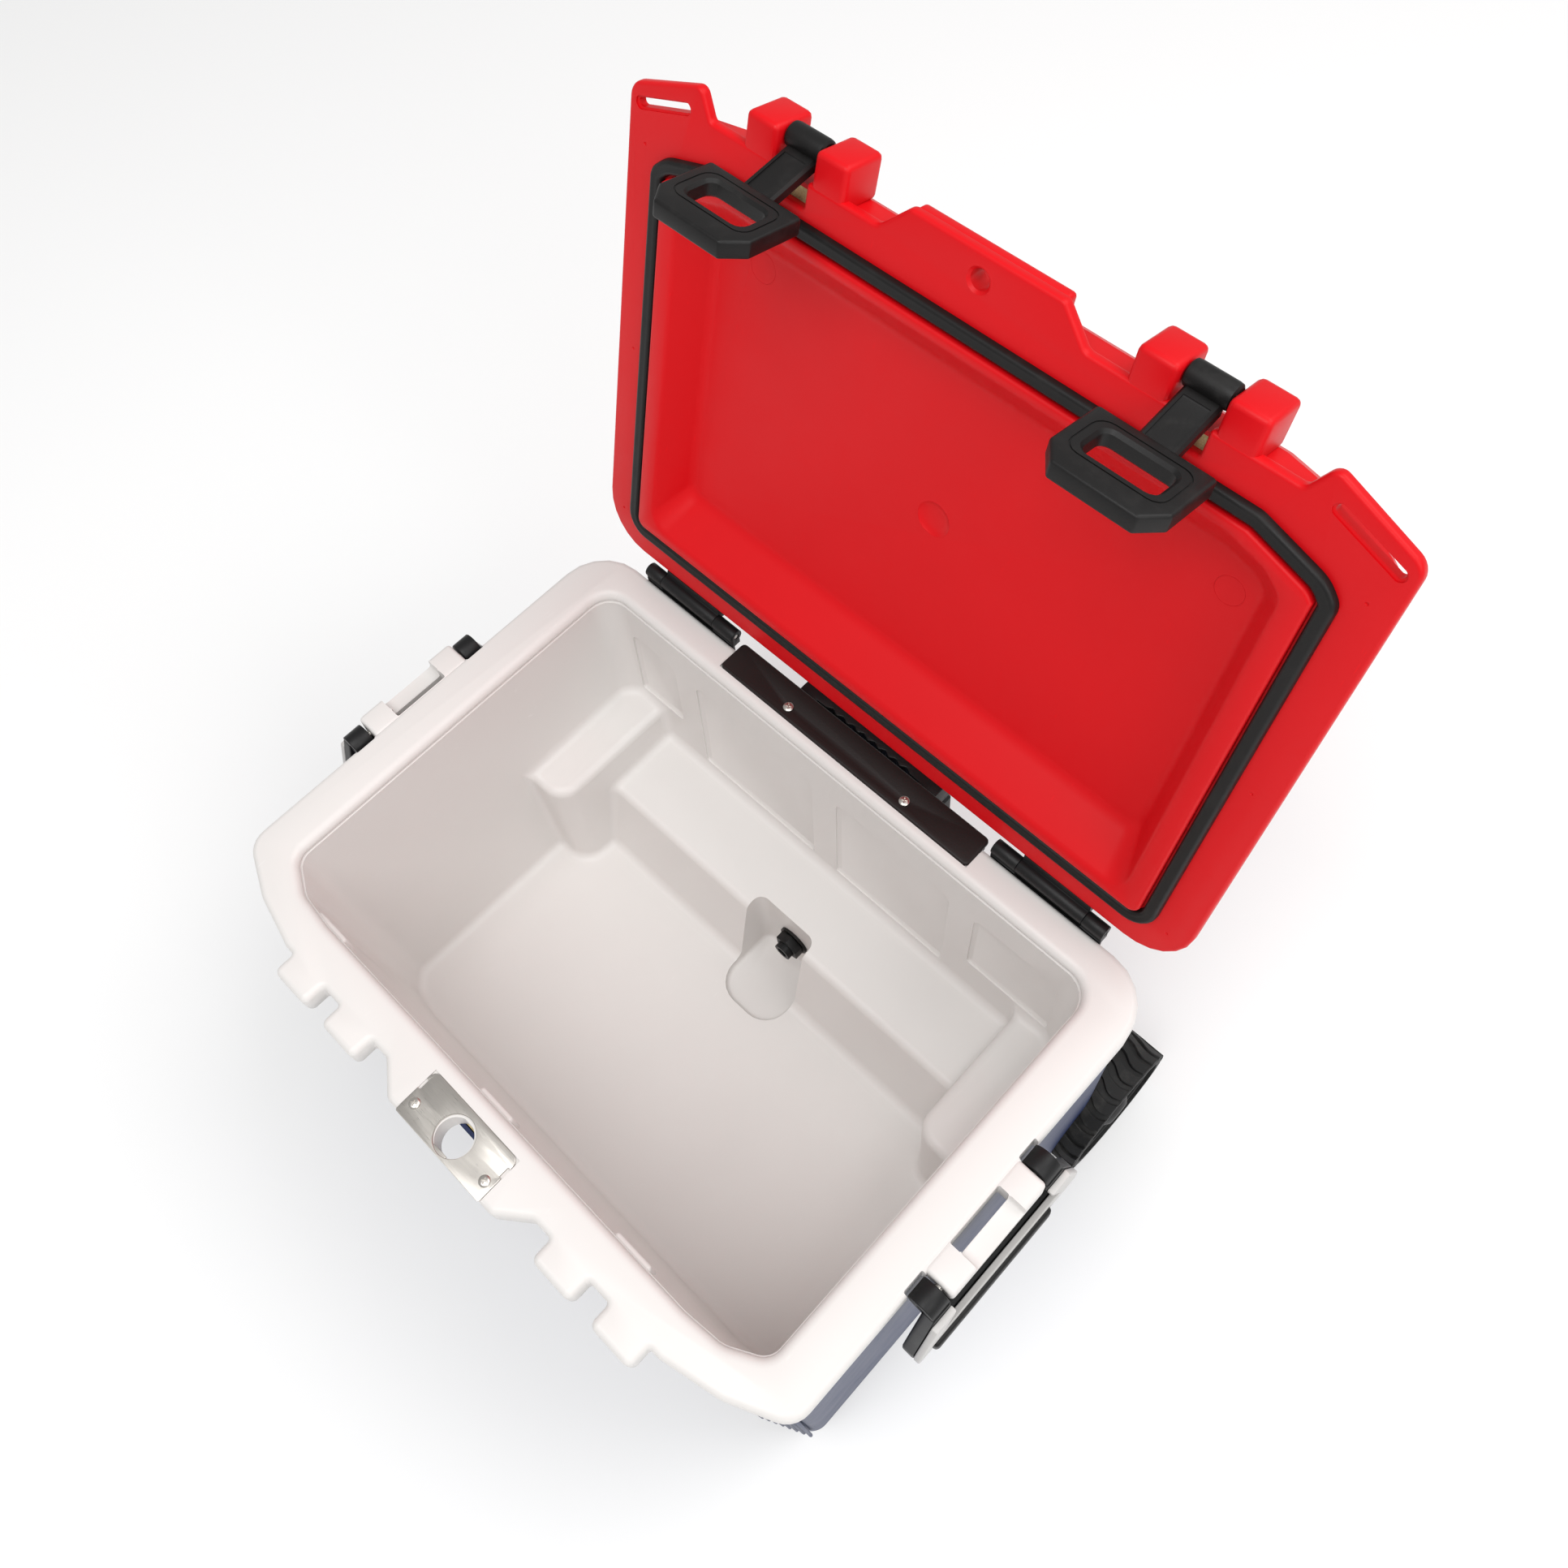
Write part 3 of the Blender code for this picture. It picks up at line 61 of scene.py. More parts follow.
# %% [markdown]
# Every later position is measured from three things that the solids themselves tell: the hinge axis,
# the top of the rim and the rim's back edge. Depths run forward from that back edge, and lid
# positions are (x, v, w): v runs along the lid's underside from the hinge, and w hangs below it.

# %% Reference lines
HINGE = Vector(joints["lid_hinge"]["pos_m"])
COVER_RISE = 0.002
HINGE_BEHIND = 0.006
RIM_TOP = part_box("rear_cover")[1].z - COVER_RISE
RIM_BACK = HINGE.y - HINGE_BEHIND
LID_OPEN = math.radians(joints["lid_hinge"]["range_deg"][1])
SIDES = ((-1, "left"), (1, "right"))


def back(depth):
    """Y of a point this far forward of the rim's back edge."""
    return RIM_BACK - depth


def lid_matrix():
    """Turns a piece that was drawn on the shut lid to the open lid."""
    return Matrix.Translation(HINGE) @ Matrix.Rotation(-LID_OPEN, 4, "X") @ Matrix.Translation(-HINGE)


print("rim top at", round(RIM_TOP, 4), "and rim back at", round(RIM_BACK, 4))

# %% [markdown]
# The camera stands above the right front corner and looks steeply down into the box. A lens of about
# 34 mm gives the strong perspective of a small thing seen from one metre away.

# %% Camera
CAMERA_FROM_RIM = Vector((0.3929, -0.3874, 1.0717))
camera_data = bpy.data.cameras.new("camera")
camera_data.lens = 33.57
camera_data.sensor_width = 36.0
camera_data.shift_x = 0.0029
camera_data.shift_y = -0.0678
camera = bpy.data.objects.new("camera", camera_data)
camera.location = Vector((0.0, RIM_BACK, RIM_TOP)) + CAMERA_FROM_RIM
camera.rotation_euler = Euler((math.radians(29.896), math.radians(4.038), math.radians(44.020)))
bpy.context.scene.collection.objects.link(camera)
bpy.context.scene.camera = camera
print("camera at", [round(value, 3) for value in camera.location])

# %% [markdown]
# A pale floor with a faint glow of its own, an even sky and three large soft lamps make the plain
# light of a catalogue. The widest lamp hangs high behind the lid on the right, a second one fills the
# box from the front, and a third lifts the right side.

# %% Floor and lights
def flat_material(name, colour, roughness):
    """A material of one colour and one roughness."""
    made = bpy.data.materials.new(name)
    made.use_nodes = True
    shader = made.node_tree.nodes["Principled BSDF"]
    shader.inputs["Base Color"].default_value = (*colour, 1.0)
    shader.inputs["Roughness"].default_value = roughness
    return made


floor_mesh = bpy.data.meshes.new("studio_floor")
FLOOR_HALF = 12.0
corners = [(-FLOOR_HALF, -FLOOR_HALF, 0.0), (FLOOR_HALF, -FLOOR_HALF, 0.0),
           (FLOOR_HALF, FLOOR_HALF, 0.0), (-FLOOR_HALF, FLOOR_HALF, 0.0)]
floor_mesh.from_pydata(corners, [], [(0, 1, 2, 3)])
floor = bpy.data.objects.new("studio_floor", floor_mesh)
bpy.context.scene.collection.objects.link(floor)
floor_finish = flat_material("studio_floor", (0.80, 0.80, 0.80), 0.9)
floor_shader = floor_finish.node_tree.nodes["Principled BSDF"]
floor_shader.inputs["Emission Color"].default_value = (1.0, 1.0, 1.0, 1.0)
floor_shader.inputs["Emission Strength"].default_value = 0.13
floor_mesh.materials.append(floor_finish)

world = bpy.data.worlds.new("studio")
world.use_nodes = True
world.node_tree.nodes["Background"].inputs["Color"].default_value = (1.0, 0.995, 0.99, 1.0)
world.node_tree.nodes["Background"].inputs["Strength"].default_value = 0.47
bpy.context.scene.world = world
bpy.context.scene.view_settings.view_transform = "Standard"

for name, place, size, power in (("sky panel", (1.5, 2.2, 4.4), 3.0, 95.0),
                                 ("front panel", (0.3, -1.6, 4.2), 2.4, 84.0),
                                 ("right panel", (3.2, -0.6, 3.0), 2.0, 40.0)):
    lamp = bpy.data.lights.new(name, "AREA")
    lamp.size = size
    lamp.energy = power
    lamp_object = bpy.data.objects.new(name, lamp)
    lamp_object.location = place
    toward_box = Vector((0.0, 0.0, 0.3)) - Vector(place)
    lamp_object.rotation_euler = toward_box.to_track_quat("-Z", "Y").to_euler()
    bpy.context.scene.collection.objects.link(lamp_object)
print("floor, sky and three lamps")

# %% [markdown]
# A material is a small program made of nodes. Writing it as arithmetic is easier to read than wiring
# boxes, so one class wraps a socket and gives it plus, minus and times. Every other node comes from
# one method of the finish being made.

# %% Shader arithmetic
class Signal:
    """One output of a shader node that can be used in sums."""

    def __init__(self, finish, socket):
        self.finish = finish
        self.socket = socket

    def math(self, operation, *values):
        """The result of one sum on these values."""
        return self.finish.node("ShaderNodeMath", {"operation": operation}, dict(enumerate(values)))

    def __add__(self, other):
        return self.math("ADD", self, other)

    def __sub__(self, other):
        return self.math("SUBTRACT", self, other)

    def __rsub__(self, other):
        return self.math("SUBTRACT", other, self)

    def __mul__(self, other):
        return self.math("MULTIPLY", self, other)

    __radd__ = __add__
    __rmul__ = __mul__

    def between(self, low, high):
        """0 below low, 1 above high and smooth between them."""
        settings = {"interpolation_type": "SMOOTHSTEP"}
        values = {"Value": self, "From Min": low, "From Max": high}
        return self.finish.node("ShaderNodeMapRange", settings, values)


class Finish:
    """A material that is written from its shader upward."""

    def __init__(self, name, **constants):
        self.material = bpy.data.materials.new(name)
        self.material.use_nodes = True
        self.tree = self.material.node_tree
        self.shader = self.tree.nodes["Principled BSDF"]
        for socket, value in constants.items():
            self.shader.inputs[socket.replace("_", " ")].default_value = value
        self.place = self.node("ShaderNodeTexCoord", {}, {}, "Object")

    def node(self, kind, settings, values, output=0):
        """Add one shader node and return one of its outputs."""
        made = self.tree.nodes.new(kind)
        for name, value in settings.items():
            setattr(made, name, value)
        for name, value in values.items():
            if isinstance(value, Signal):
                self.tree.links.new(value.socket, made.inputs[name])
            else:
                made.inputs[name].default_value = value
        return Signal(self, made.outputs[output])

    def stretched(self, x, y, z):
        """Place on the piece, multiplied along each axis."""
        values = {0: self.place, 1: (x, y, z)}
        return self.node("ShaderNodeVectorMath", {"operation": "MULTIPLY"}, values)

    def noise(self, per_metre, detail=2.0, roughness=0.5, place=None):
        """Cloudy noise from 0 to 1, with this many blotches to the metre."""
        values = {"Vector": place or self.place, "Scale": per_metre}
        values.update({"Detail": detail, "Roughness": roughness})
        return self.node("ShaderNodeTexNoise", {}, values, "Fac")

    def mix(self, amount, first, second):
        """Colour that goes from first to second."""
        return self.node("ShaderNodeMix", {"data_type": "RGBA"}, {0: amount, 6: first, 7: second}, 2)

    def bump(self, height, distance):
        """A surface that rises and falls by this distance."""
        values = {"Height": height, "Distance": distance, "Strength": 1.0}
        return self.node("ShaderNodeBump", {}, values)

    def feed(self, **sockets):
        """Connect signals to the shader's inputs."""
        for name, signal in sockets.items():
            self.tree.links.new(signal.socket, self.shader.inputs[name.replace("_", " ")])
        return self


def shade(colour, factor):
    """A colour made lighter or darker, with full opacity."""
    return (*(min(channel * factor, 1.0) for channel in colour), 1.0)


print("shader arithmetic ready")

# %% [markdown]
# Moulded plastic is never one flat colour. Its surface copies the mould's fine spark grain, its tone
# drifts slightly where the melt cooled, and handling leaves hairline scuffs and a thin greasy film
# that only shows in the shine. One function makes all of that, and each plastic sets its own amounts.

# %% Moulded plastics
def moulded(name, colour, roughness, grain, grain_per_metre, drift, scuffs, **constants):
    """A moulded plastic with grain, colour drift, film and hairline scuffs."""
    finish = Finish(name, Roughness=roughness, **constants)
    tone = finish.noise(7.0, 3.0)
    film = finish.noise(26.0, 4.0, 0.6)
    fine = finish.noise(grain_per_metre, 1.5)
    broad = finish.noise(160.0, 2.0)
    lines = finish.noise(1.0, 1.0, place=finish.stretched(900.0, 60.0, 90.0)).between(0.70, 0.76)
    lines = lines * film.between(0.52, 0.66) * scuffs
    base = finish.mix(tone, shade(colour, 1.0 - drift), shade(colour, 1.0 + drift))
    base = finish.mix(lines * 0.35, base, shade(colour, 1.5))
    rough = roughness + (film - 0.5) * 0.16 + (fine - 0.5) * 0.08 + lines * 0.2
    height = fine * 0.8 + broad * 0.35 - lines * 0.5
    return finish.feed(Base_Color=base, Roughness=rough, Normal=finish.bump(height, grain)).material


WHITE = moulded("moulded_white", (0.730, 0.705, 0.685), 0.40, 0.00004, 1300.0, 0.02, 0.4)
RED = moulded("moulded_red", (0.680, 0.003, 0.007), 0.42, 0.00005, 1500.0, 0.05, 0.6,
              Specular_IOR_Level=0.22)
NAVY = moulded("moulded_navy", (0.010, 0.022, 0.085), 0.44, 0.00008, 1100.0, 0.08, 0.8,
               Specular_IOR_Level=0.34)
BLACK = moulded("moulded_black", (0.007, 0.007, 0.0075), 0.46, 0.00010, 900.0, 0.12, 0.8,
                Specular_IOR_Level=0.32)
BROWN = moulded("moulded_brown", (0.013, 0.008, 0.0075), 0.48, 0.00012, 800.0, 0.10, 0.6,
                Specular_IOR_Level=0.32)
GREY = moulded("moulded_grey", (0.560, 0.545, 0.530), 0.42, 0.00006, 1200.0, 0.04, 0.6)
print("six moulded plastics")

# %% [markdown]
# Rubber drinks light: it is dark, dull and slightly dusty in scattered patches. The tyres are the same
# stuff, but rougher and more patched with pale dust.

# %% Rubber
def rubber(name, colour, roughness, dust, grain, **constants):
    """A dull rubber with fine grain and patches of pale dust."""
    finish = Finish(name, Roughness=roughness, **constants)
    fine = finish.noise(1400.0, 2.0, 0.6)
    patches = finish.noise(38.0, 5.0, 0.65).between(0.50, 0.72)
    base = finish.mix(patches * dust, shade(colour, 1.0), (0.20, 0.19, 0.175, 1.0))
    rough = roughness + patches * 0.15 + (fine - 0.5) * 0.1
    return finish.feed(Base_Color=base, Roughness=rough, Normal=finish.bump(fine, grain)).material


RUBBER = rubber("black_rubber", (0.0065, 0.006, 0.006), 0.44, 0.03, 0.00007, Specular_IOR_Level=0.30)
TYRE = rubber("tyre_rubber", (0.012, 0.012, 0.0118), 0.60, 0.16, 0.00012, Specular_IOR_Level=0.30)
print("two rubbers")

# %% [markdown]
# Brushed steel is grained in one direction. A noise that is stretched forty times along the sheet
# gives the fine parallel lines, and it drives both the shine and a very shallow bump.

# %% Steel
def steel(name, along):
    """Satin steel with its brush lines along one axis."""
    tint = (0.60, 0.57, 0.53)
    roughness = 0.33
    finish = Finish(name, Metallic=1.0, Roughness=roughness)
    across = [1.0 if axis == along else 40.0 for axis in "XYZ"]
    lines = finish.noise(60.0, 4.0, 0.7, place=finish.stretched(*across))
    smears = finish.noise(45.0, 3.0, 0.6)
    base = finish.mix(lines, shade(tint, 0.86), shade(tint, 1.12))
    rough = roughness + (lines - 0.5) * 0.3 + (smears - 0.5) * 0.2
    return finish.feed(Base_Color=base, Roughness=rough, Normal=finish.bump(lines, 0.00003)).material


STEEL = steel("brushed_steel", "X")
print("brushed steel")

# %% [markdown]
# The foam core of each wall is hidden, but it is a solid like any other and gets a finish too.

# %% Foam
def foam(name):
    """Rigid foam: a pale yellow mass of tiny cells."""
    finish = Finish(name, Roughness=0.9)
    cell_size = {"Vector": finish.place, "Scale": 900.0}
    cells = finish.node("ShaderNodeTexVoronoi", {}, cell_size, "Distance")
    base = finish.mix(cells, (0.80, 0.68, 0.36, 1.0), (0.62, 0.50, 0.24, 1.0))
    return finish.feed(Base_Color=base, Normal=finish.bump(cells, 0.0004)).material


FOAM = foam("rigid_foam")
print("foam")

# %% [markdown]
# The record names one finish for each solid. Every solid gets it now, so that the plain ones, which
# are not drawn again below, are already done.

# %% Give every solid its finish
FINISHES = {"white_plastic": WHITE, "navy_plastic": NAVY, "red_plastic": RED, "black_plastic": BLACK,
            "black_rubber": RUBBER, "brown_plastic": BROWN, "grey_plastic": GREY, "steel": STEEL,
            "foam": FOAM, "tyre": TYRE}
for node, solid in nodes.items():
    solid.data.materials.clear()
    solid.data.materials.append(FINISHES[node_slot[node]])
print("finishes on", len(nodes), "solids")

# %% [markdown]
# ## Shapes
# The solids have the right sizes but crisp edges, and a moulding never has a crisp edge: the melt
# can't fill one, and the mould would crack there. So each visible piece is drawn again from outlines
# whose corners carry a radius, and its edges are rolled over. These helpers draw an outline, loft it,
# turn a profile, and join or cut solids.

# %% Outline helpers
def plan(corners):
    """Turn (x, depth, radius) corners into (x, y, radius) corners."""
    return [(x, back(depth), radius) for x, depth, radius in corners]


def lid_plan(corners):
    """Turn (x, v, radius) corners of the shut lid into (x, y, radius) corners."""
    return [(x, HINGE.y - v, radius) for x, v, radius in corners]


def lid_z(w):
    """Height of a point w below the shut lid's underside."""
    return HINGE.z - w


def mirrored(corners):
    """Close an outline from its right half, given front to back."""
    return corners + [(-x, y, radius) for x, y, radius in reversed(corners)]


def inset(corners, distance):
    """Move every side of an anticlockwise outline inward, or outward when negative."""
    moved = []
    count = len(corners)
    for index, (x, y, radius) in enumerate(corners):
        here = Vector((x, y))
        arriving = (here - Vector(corners[index - 1][:2])).normalized()
        leaving = (Vector(corners[(index + 1) % count][:2]) - here).normalized()
        first = Vector((-arriving.y, arriving.x))
        second = Vector((-leaving.y, leaving.x))
        shift = (first + second) * (distance / (1.0 + first.dot(second)))
        turns_left = arriving.cross(leaving) > 0
        radius = radius - distance if turns_left else radius + distance
        moved.append((x + shift.x, y + shift.y, max(radius, 0.0004)))
    return moved


def rounded(corners, steps=6):
    """Replace each corner with an arc of its radius."""
    points = []
    count = len(corners)
    for index, (x, y, radius) in enumerate(corners):
        here = Vector((x, y))
        before = (Vector(corners[index - 1][:2]) - here).normalized()
        after = (Vector(corners[(index + 1) % count][:2]) - here).normalized()
        half = before.angle(after) / 2
        middle = here + (before + after).normalized() * (radius / math.sin(half))
        start = here + before * (radius / math.tan(half)) - middle
        end = here + after * (radius / math.tan(half)) - middle
        sweep = start.angle_signed(end)
        for step in range(steps + 1):
            turned = start.copy()
            turned.rotate(Matrix.Rotation(-sweep * step / steps, 2))
            points.append(middle + turned)
    return points


def rolled(end, radius, upward, steps=4, start=0.0):
    """Sections (height, inset) that roll an edge over with a quarter circle ending at this height."""
    sign = 1.0 if upward else -1.0
    turns = [math.radians(90.0 * step / steps) for step in range(steps + 1)]
    rolled_over = []
    for turn in turns:
        height = end - sign * radius * (1.0 - math.sin(turn))
        rolled_over.append((height, start + radius * (1.0 - math.cos(turn))))
    return rolled_over if upward else list(reversed(rolled_over))


print("outline helpers ready")

# %% [markdown]
# Outlines become solids here. A loft joins rings of points, a lathe turns a profile, and every other
# shape is a use of one of those two. Solids are cut and joined with the exact boolean.

# %% Solid helpers
DRAIN_HOLE = 0.0093


def make_object(name, verts, faces):
    """A closed object from its points and faces."""
    mesh = bpy.data.meshes.new(name)
    mesh.from_pydata([tuple(vert) for vert in verts], [], faces)
    made = bpy.data.objects.new(name, mesh)
    bpy.context.scene.collection.objects.link(made)
    return mend(made)


def mend(obj, merge=1e-6):
    """Weld doubled points and turn every face outward."""
    shape = bmesh.new()
    shape.from_mesh(obj.data)
    bmesh.ops.remove_doubles(shape, verts=shape.verts, dist=merge)
    bmesh.ops.dissolve_degenerate(shape, edges=shape.edges, dist=1e-6)
    bmesh.ops.recalc_face_normals(shape, faces=shape.faces)
    shape.to_mesh(obj.data)
    shape.free()
    return obj


def loft(name, rings, closed=False):
    """Join rings of equal length into one solid; a closed loft ends where it began."""
    size = len(rings[0])
    count = len(rings)
    faces = []
    for level in range(count if closed else count - 1):
        low = level * size
        high = ((level + 1) % count) * size
        for index in range(size):
            beside = (index + 1) % size
            faces.append((low + index, low + beside, high + beside, high + index))
    if not closed:
        faces.append(tuple(range(size)))
        faces.append(tuple(range((count - 1) * size, count * size)))
    return make_object(name, [point for ring in rings for point in ring], faces)


def turned_to(axis, a, b, along):
    """A point from its two plan coordinates and its distance along X, Y or Z."""
    return Vector({"X": (along, a, b), "Y": (a, along, b), "Z": (a, b, along)}[axis])


def prism(name, corners, sections, axis="Z", steps=6):
    """Loft an outline through (distance along the axis, inset) sections."""
    rings = []
    for along, distance in sections:
        outline = rounded(inset(corners, distance), steps)
        rings.append([turned_to(axis, point.x, point.y, along) for point in outline])
    return loft(name, rings)


def band(name, corners, section, steps=6):
    """A ring of constant section: each (inset, z) pair is one edge running round the outline."""
    rings = []
    for distance, height in section:
        outline = rounded(inset(corners, distance), steps)
        rings.append([Vector((point.x, point.y, height)) for point in outline])
    return loft(name, rings, closed=True)


def block(name, low, high, soften=0.0):
    """A block between two corners, with its edges softened if asked."""
    (x0, y0, z0), (x1, y1, z1) = low, high
    ring = ((x0, y0), (x1, y0), (x1, y1), (x0, y1))
    made = loft(name, [[Vector((x, y, z)) for x, y in ring] for z in (z0, z1)])
    return soften_edges(made, soften) if soften else made


def lathe(name, profile, centre, axis, segments=48, closed=False):
    """Turn a (radius, distance along the axis) profile round an axis."""
    verts = []
    for step in range(segments):
        angle = 2 * math.pi * (step + 0.5) / segments
        for radius, along in profile:
            spoke = turned_to(axis, radius * math.cos(angle), radius * math.sin(angle), along)
            verts.append(spoke + Vector(centre))
    size = len(profile)
    faces = []
    for step in range(segments):
        low = step * size
        high = ((step + 1) % segments) * size
        for index in range(size if closed else size - 1):
            beside = (index + 1) % size
            faces.append((low + index, low + beside, high + beside, high + index))
    return make_object(name, verts, faces)


def rod(name, radius, centre, axis, low, high, segments=32):
    """A round bar between two distances along an axis."""
    return lathe(name, [(0.0, low), (radius, low), (radius, high), (0.0, high)], centre, axis, segments)


def apply_modifier(obj, modifier):
    """Make a modifier's result the object's own shape."""
    bpy.context.view_layer.objects.active = obj
    bpy.ops.object.modifier_apply(modifier=modifier.name)
    return obj


def soften_edges(obj, width, segments=3, degrees=32):
    """Roll over every sharp edge of a piece, after making its flat faces whole."""
    shape = bmesh.new()
    shape.from_mesh(obj.data)
    bmesh.ops.dissolve_limit(shape, angle_limit=math.radians(0.4), verts=shape.verts, edges=shape.edges)
    shape.to_mesh(obj.data)
    shape.free()
    bevel = obj.modifiers.new("soft edges", "BEVEL")
    bevel.width = width
    bevel.segments = segments
    bevel.limit_method = "ANGLE"
    bevel.angle_limit = math.radians(degrees)
    bevel.use_clamp_overlap = False
    return apply_modifier(obj, bevel)


def combine(obj, tools, operation):
    """Apply each tool to the object with one boolean operation, and remove the tool."""
    for tool in tools:
        boolean = obj.modifiers.new(operation, "BOOLEAN")
        boolean.operation = operation
        boolean.solver = "EXACT"
        boolean.object = tool
        apply_modifier(obj, boolean)
        bpy.data.objects.remove(tool, do_unlink=True)
    return obj


def cut(obj, *tools):
    """Take each tool's shape out of the object."""
    return combine(obj, tools, "DIFFERENCE")


def add(obj, *tools):
    """Melt each tool's shape into the object."""
    return combine(obj, tools, "UNION")


def join(obj, other):
    """Put a second shape into the same object without melting them together."""
    bpy.ops.object.select_all(action="DESELECT")
    other.select_set(True)
    obj.select_set(True)
    bpy.context.view_layer.objects.active = obj
    bpy.ops.object.join()
    return obj


def show(obj, finish, *replaced, degrees=35):
    """Shade a piece, give it its finish, hang it on its body and hide the solids it stands for."""
    bpy.ops.object.select_all(action="DESELECT")
    obj.select_set(True)
    bpy.context.view_layer.objects.active = obj
    bpy.ops.object.shade_smooth_by_angle(angle=math.radians(degrees))
    obj.data.materials.clear()
    obj.data.materials.append(finish)
    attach(obj, node_body[replaced[0]])
    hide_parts(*replaced)
    print(obj.name, len(obj.data.polygons), "faces")
    return obj


def copied(node, name):
    """A fresh piece with a solid's shape, its flat faces made whole."""
    made = bpy.data.objects.new(name, nodes[node].data.copy())
    bpy.context.scene.collection.objects.link(made)
    return mend(made, 1e-5)


def drain_cutter(depth):
    """A bar along the drain, from this depth to behind the box."""
    low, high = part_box("drain_tube")
    middle = (low + high) / 2
    return rod("drain hole", DRAIN_HOLE, (middle.x, 0.0, middle.z), "Y", back(depth), back(-0.01))


print("solid helpers ready")

# %% [markdown]
# ## The liner
# The white liner is one moulded skin: it rolls over the mouth to become the rim, and
# inside it steps over the axle and the wheels. Its inner shape is easiest to think of as the block of
# air inside it, so that block is built first, softened, and then cut out of the rim and its wall.

# %% Liner
LINER_WALL = 0.003
SUMP_DROP = 0.008
TUB_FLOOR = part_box("inner_tub")[0].z + SUMP_DROP + LINER_WALL
RIM_FRONT = 0.430
TAB_OUT = 0.449
TAB_CENTRE = 0.154
TAB_GAP = 0.021
TAB_WIDTH = 0.040
WALL_DRAFT = 0.014
WALL_LEAN = WALL_DRAFT / 0.303
BUMP_INNER = 0.217
BUMP_FRONT = 0.175
BUMP_DROP = 0.150
STEP_DEPTH = 0.118
STEP_DROP = 0.200
PANEL_TOP = 0.050
LOCK_SCREW = (0.0405, 0.4366)
COVER_SCREW = (0.0645, 0.012)


def tab_edges():
    """The four upright edges of a pair of tabs, from the middle outward."""
    inner, outer = TAB_CENTRE - TAB_GAP / 2, TAB_CENTRE + TAB_GAP / 2
    return inner - TAB_WIDTH, inner, outer, outer + TAB_WIDTH


def rim_corners():
    """Outline of the rim, with its lock nose and its four latch tabs."""
    first, second, third, fourth = tab_edges()
    half = [(0.060, TAB_OUT, 0.009), (0.085, RIM_FRONT, 0.008)]
    for start, end in ((first, second), (third, fourth)):
        half += [(start, RIM_FRONT, 0.003), (start, TAB_OUT, 0.006)]
        half += [(end, TAB_OUT, 0.006), (end, RIM_FRONT, 0.003)]
    half += [(fourth + 0.010, RIM_FRONT, 0.006), (0.262, RIM_FRONT - 0.011, 0.030)]
    half += [(0.310, RIM_FRONT - 0.033, 0.022), (0.310, 0.0, 0.045)]
    return mirrored(plan(half))


def mouth_corners(narrow):
    """Outline of the air inside at one level, where its walls lean in by this much."""
    half = [(0.205, 0.3975 - narrow, 0.020), (0.240, 0.394 - narrow, 0.030),
            (0.270 - narrow, 0.378 - narrow, 0.016), (0.270 - narrow, 0.031 + narrow, 0.022)]
    return mirrored(plan(half))


def air_solid(grow, soft=0.0):
    """The air inside the liner, grown by the liner's wall, with soft edges if asked."""
    foot = TUB_FLOOR - grow
    rings = []
    for height, narrow in ((foot, WALL_DRAFT), (RIM_TOP + 0.010, 0.0)):
        outline = rounded(inset(mouth_corners(narrow), -grow), 8)
        rings.append([Vector((point.x, point.y, height)) for point in outline])
    air = loft("air", rings)
    for side in (-1, 1):
        inner = BUMP_INNER + grow
        corners = [(inner, back(BUMP_FRONT - grow), 0.022), (0.330, back(BUMP_FRONT - grow), 0.001),
                   (0.330, back(-0.030), 0.001), (inner, back(-0.030), 0.001)]
        if side < 0:
            corners = [(-x, y, radius) for x, y, radius in reversed(corners)]
        ceiling = RIM_TOP - BUMP_DROP - grow
        cut(air, prism("bump", corners, [(foot - 0.02, 0.0), (ceiling, 0.0)], steps=8))
    slope = 0.020 / 0.093
    under = foot - 0.02
    step_foot = STEP_DEPTH - grow + slope * (RIM_TOP - STEP_DROP - under)
    step = [(back(-0.030), under, 0.001), (back(step_foot), under, 0.001),
            (back(STEP_DEPTH - grow), RIM_TOP - STEP_DROP - grow, 0.009),
            (back(-0.030), RIM_TOP - 0.192 - grow, 0.001)]
    cut(air, prism("step", list(reversed(step)), [(-0.235, 0.0), (0.235, 0.0)], axis="X"))
    if soft:
        soften_edges(air, soft, segments=4, degrees=30)
    sump = plan([(-0.034 - grow, 0.175 + grow, 0.026), (0.037 + grow, 0.175 + grow, 0.026),
                 (0.037 + grow, 0.100 - grow, 0.010), (-0.034 - grow, 0.100 - grow, 0.010)])
    sump_sections = rolled(foot - SUMP_DROP, 0.004, False, 3) + [(RIM_TOP - 0.188, 0.0)]
    return add(air, prism("sump", sump, sump_sections))


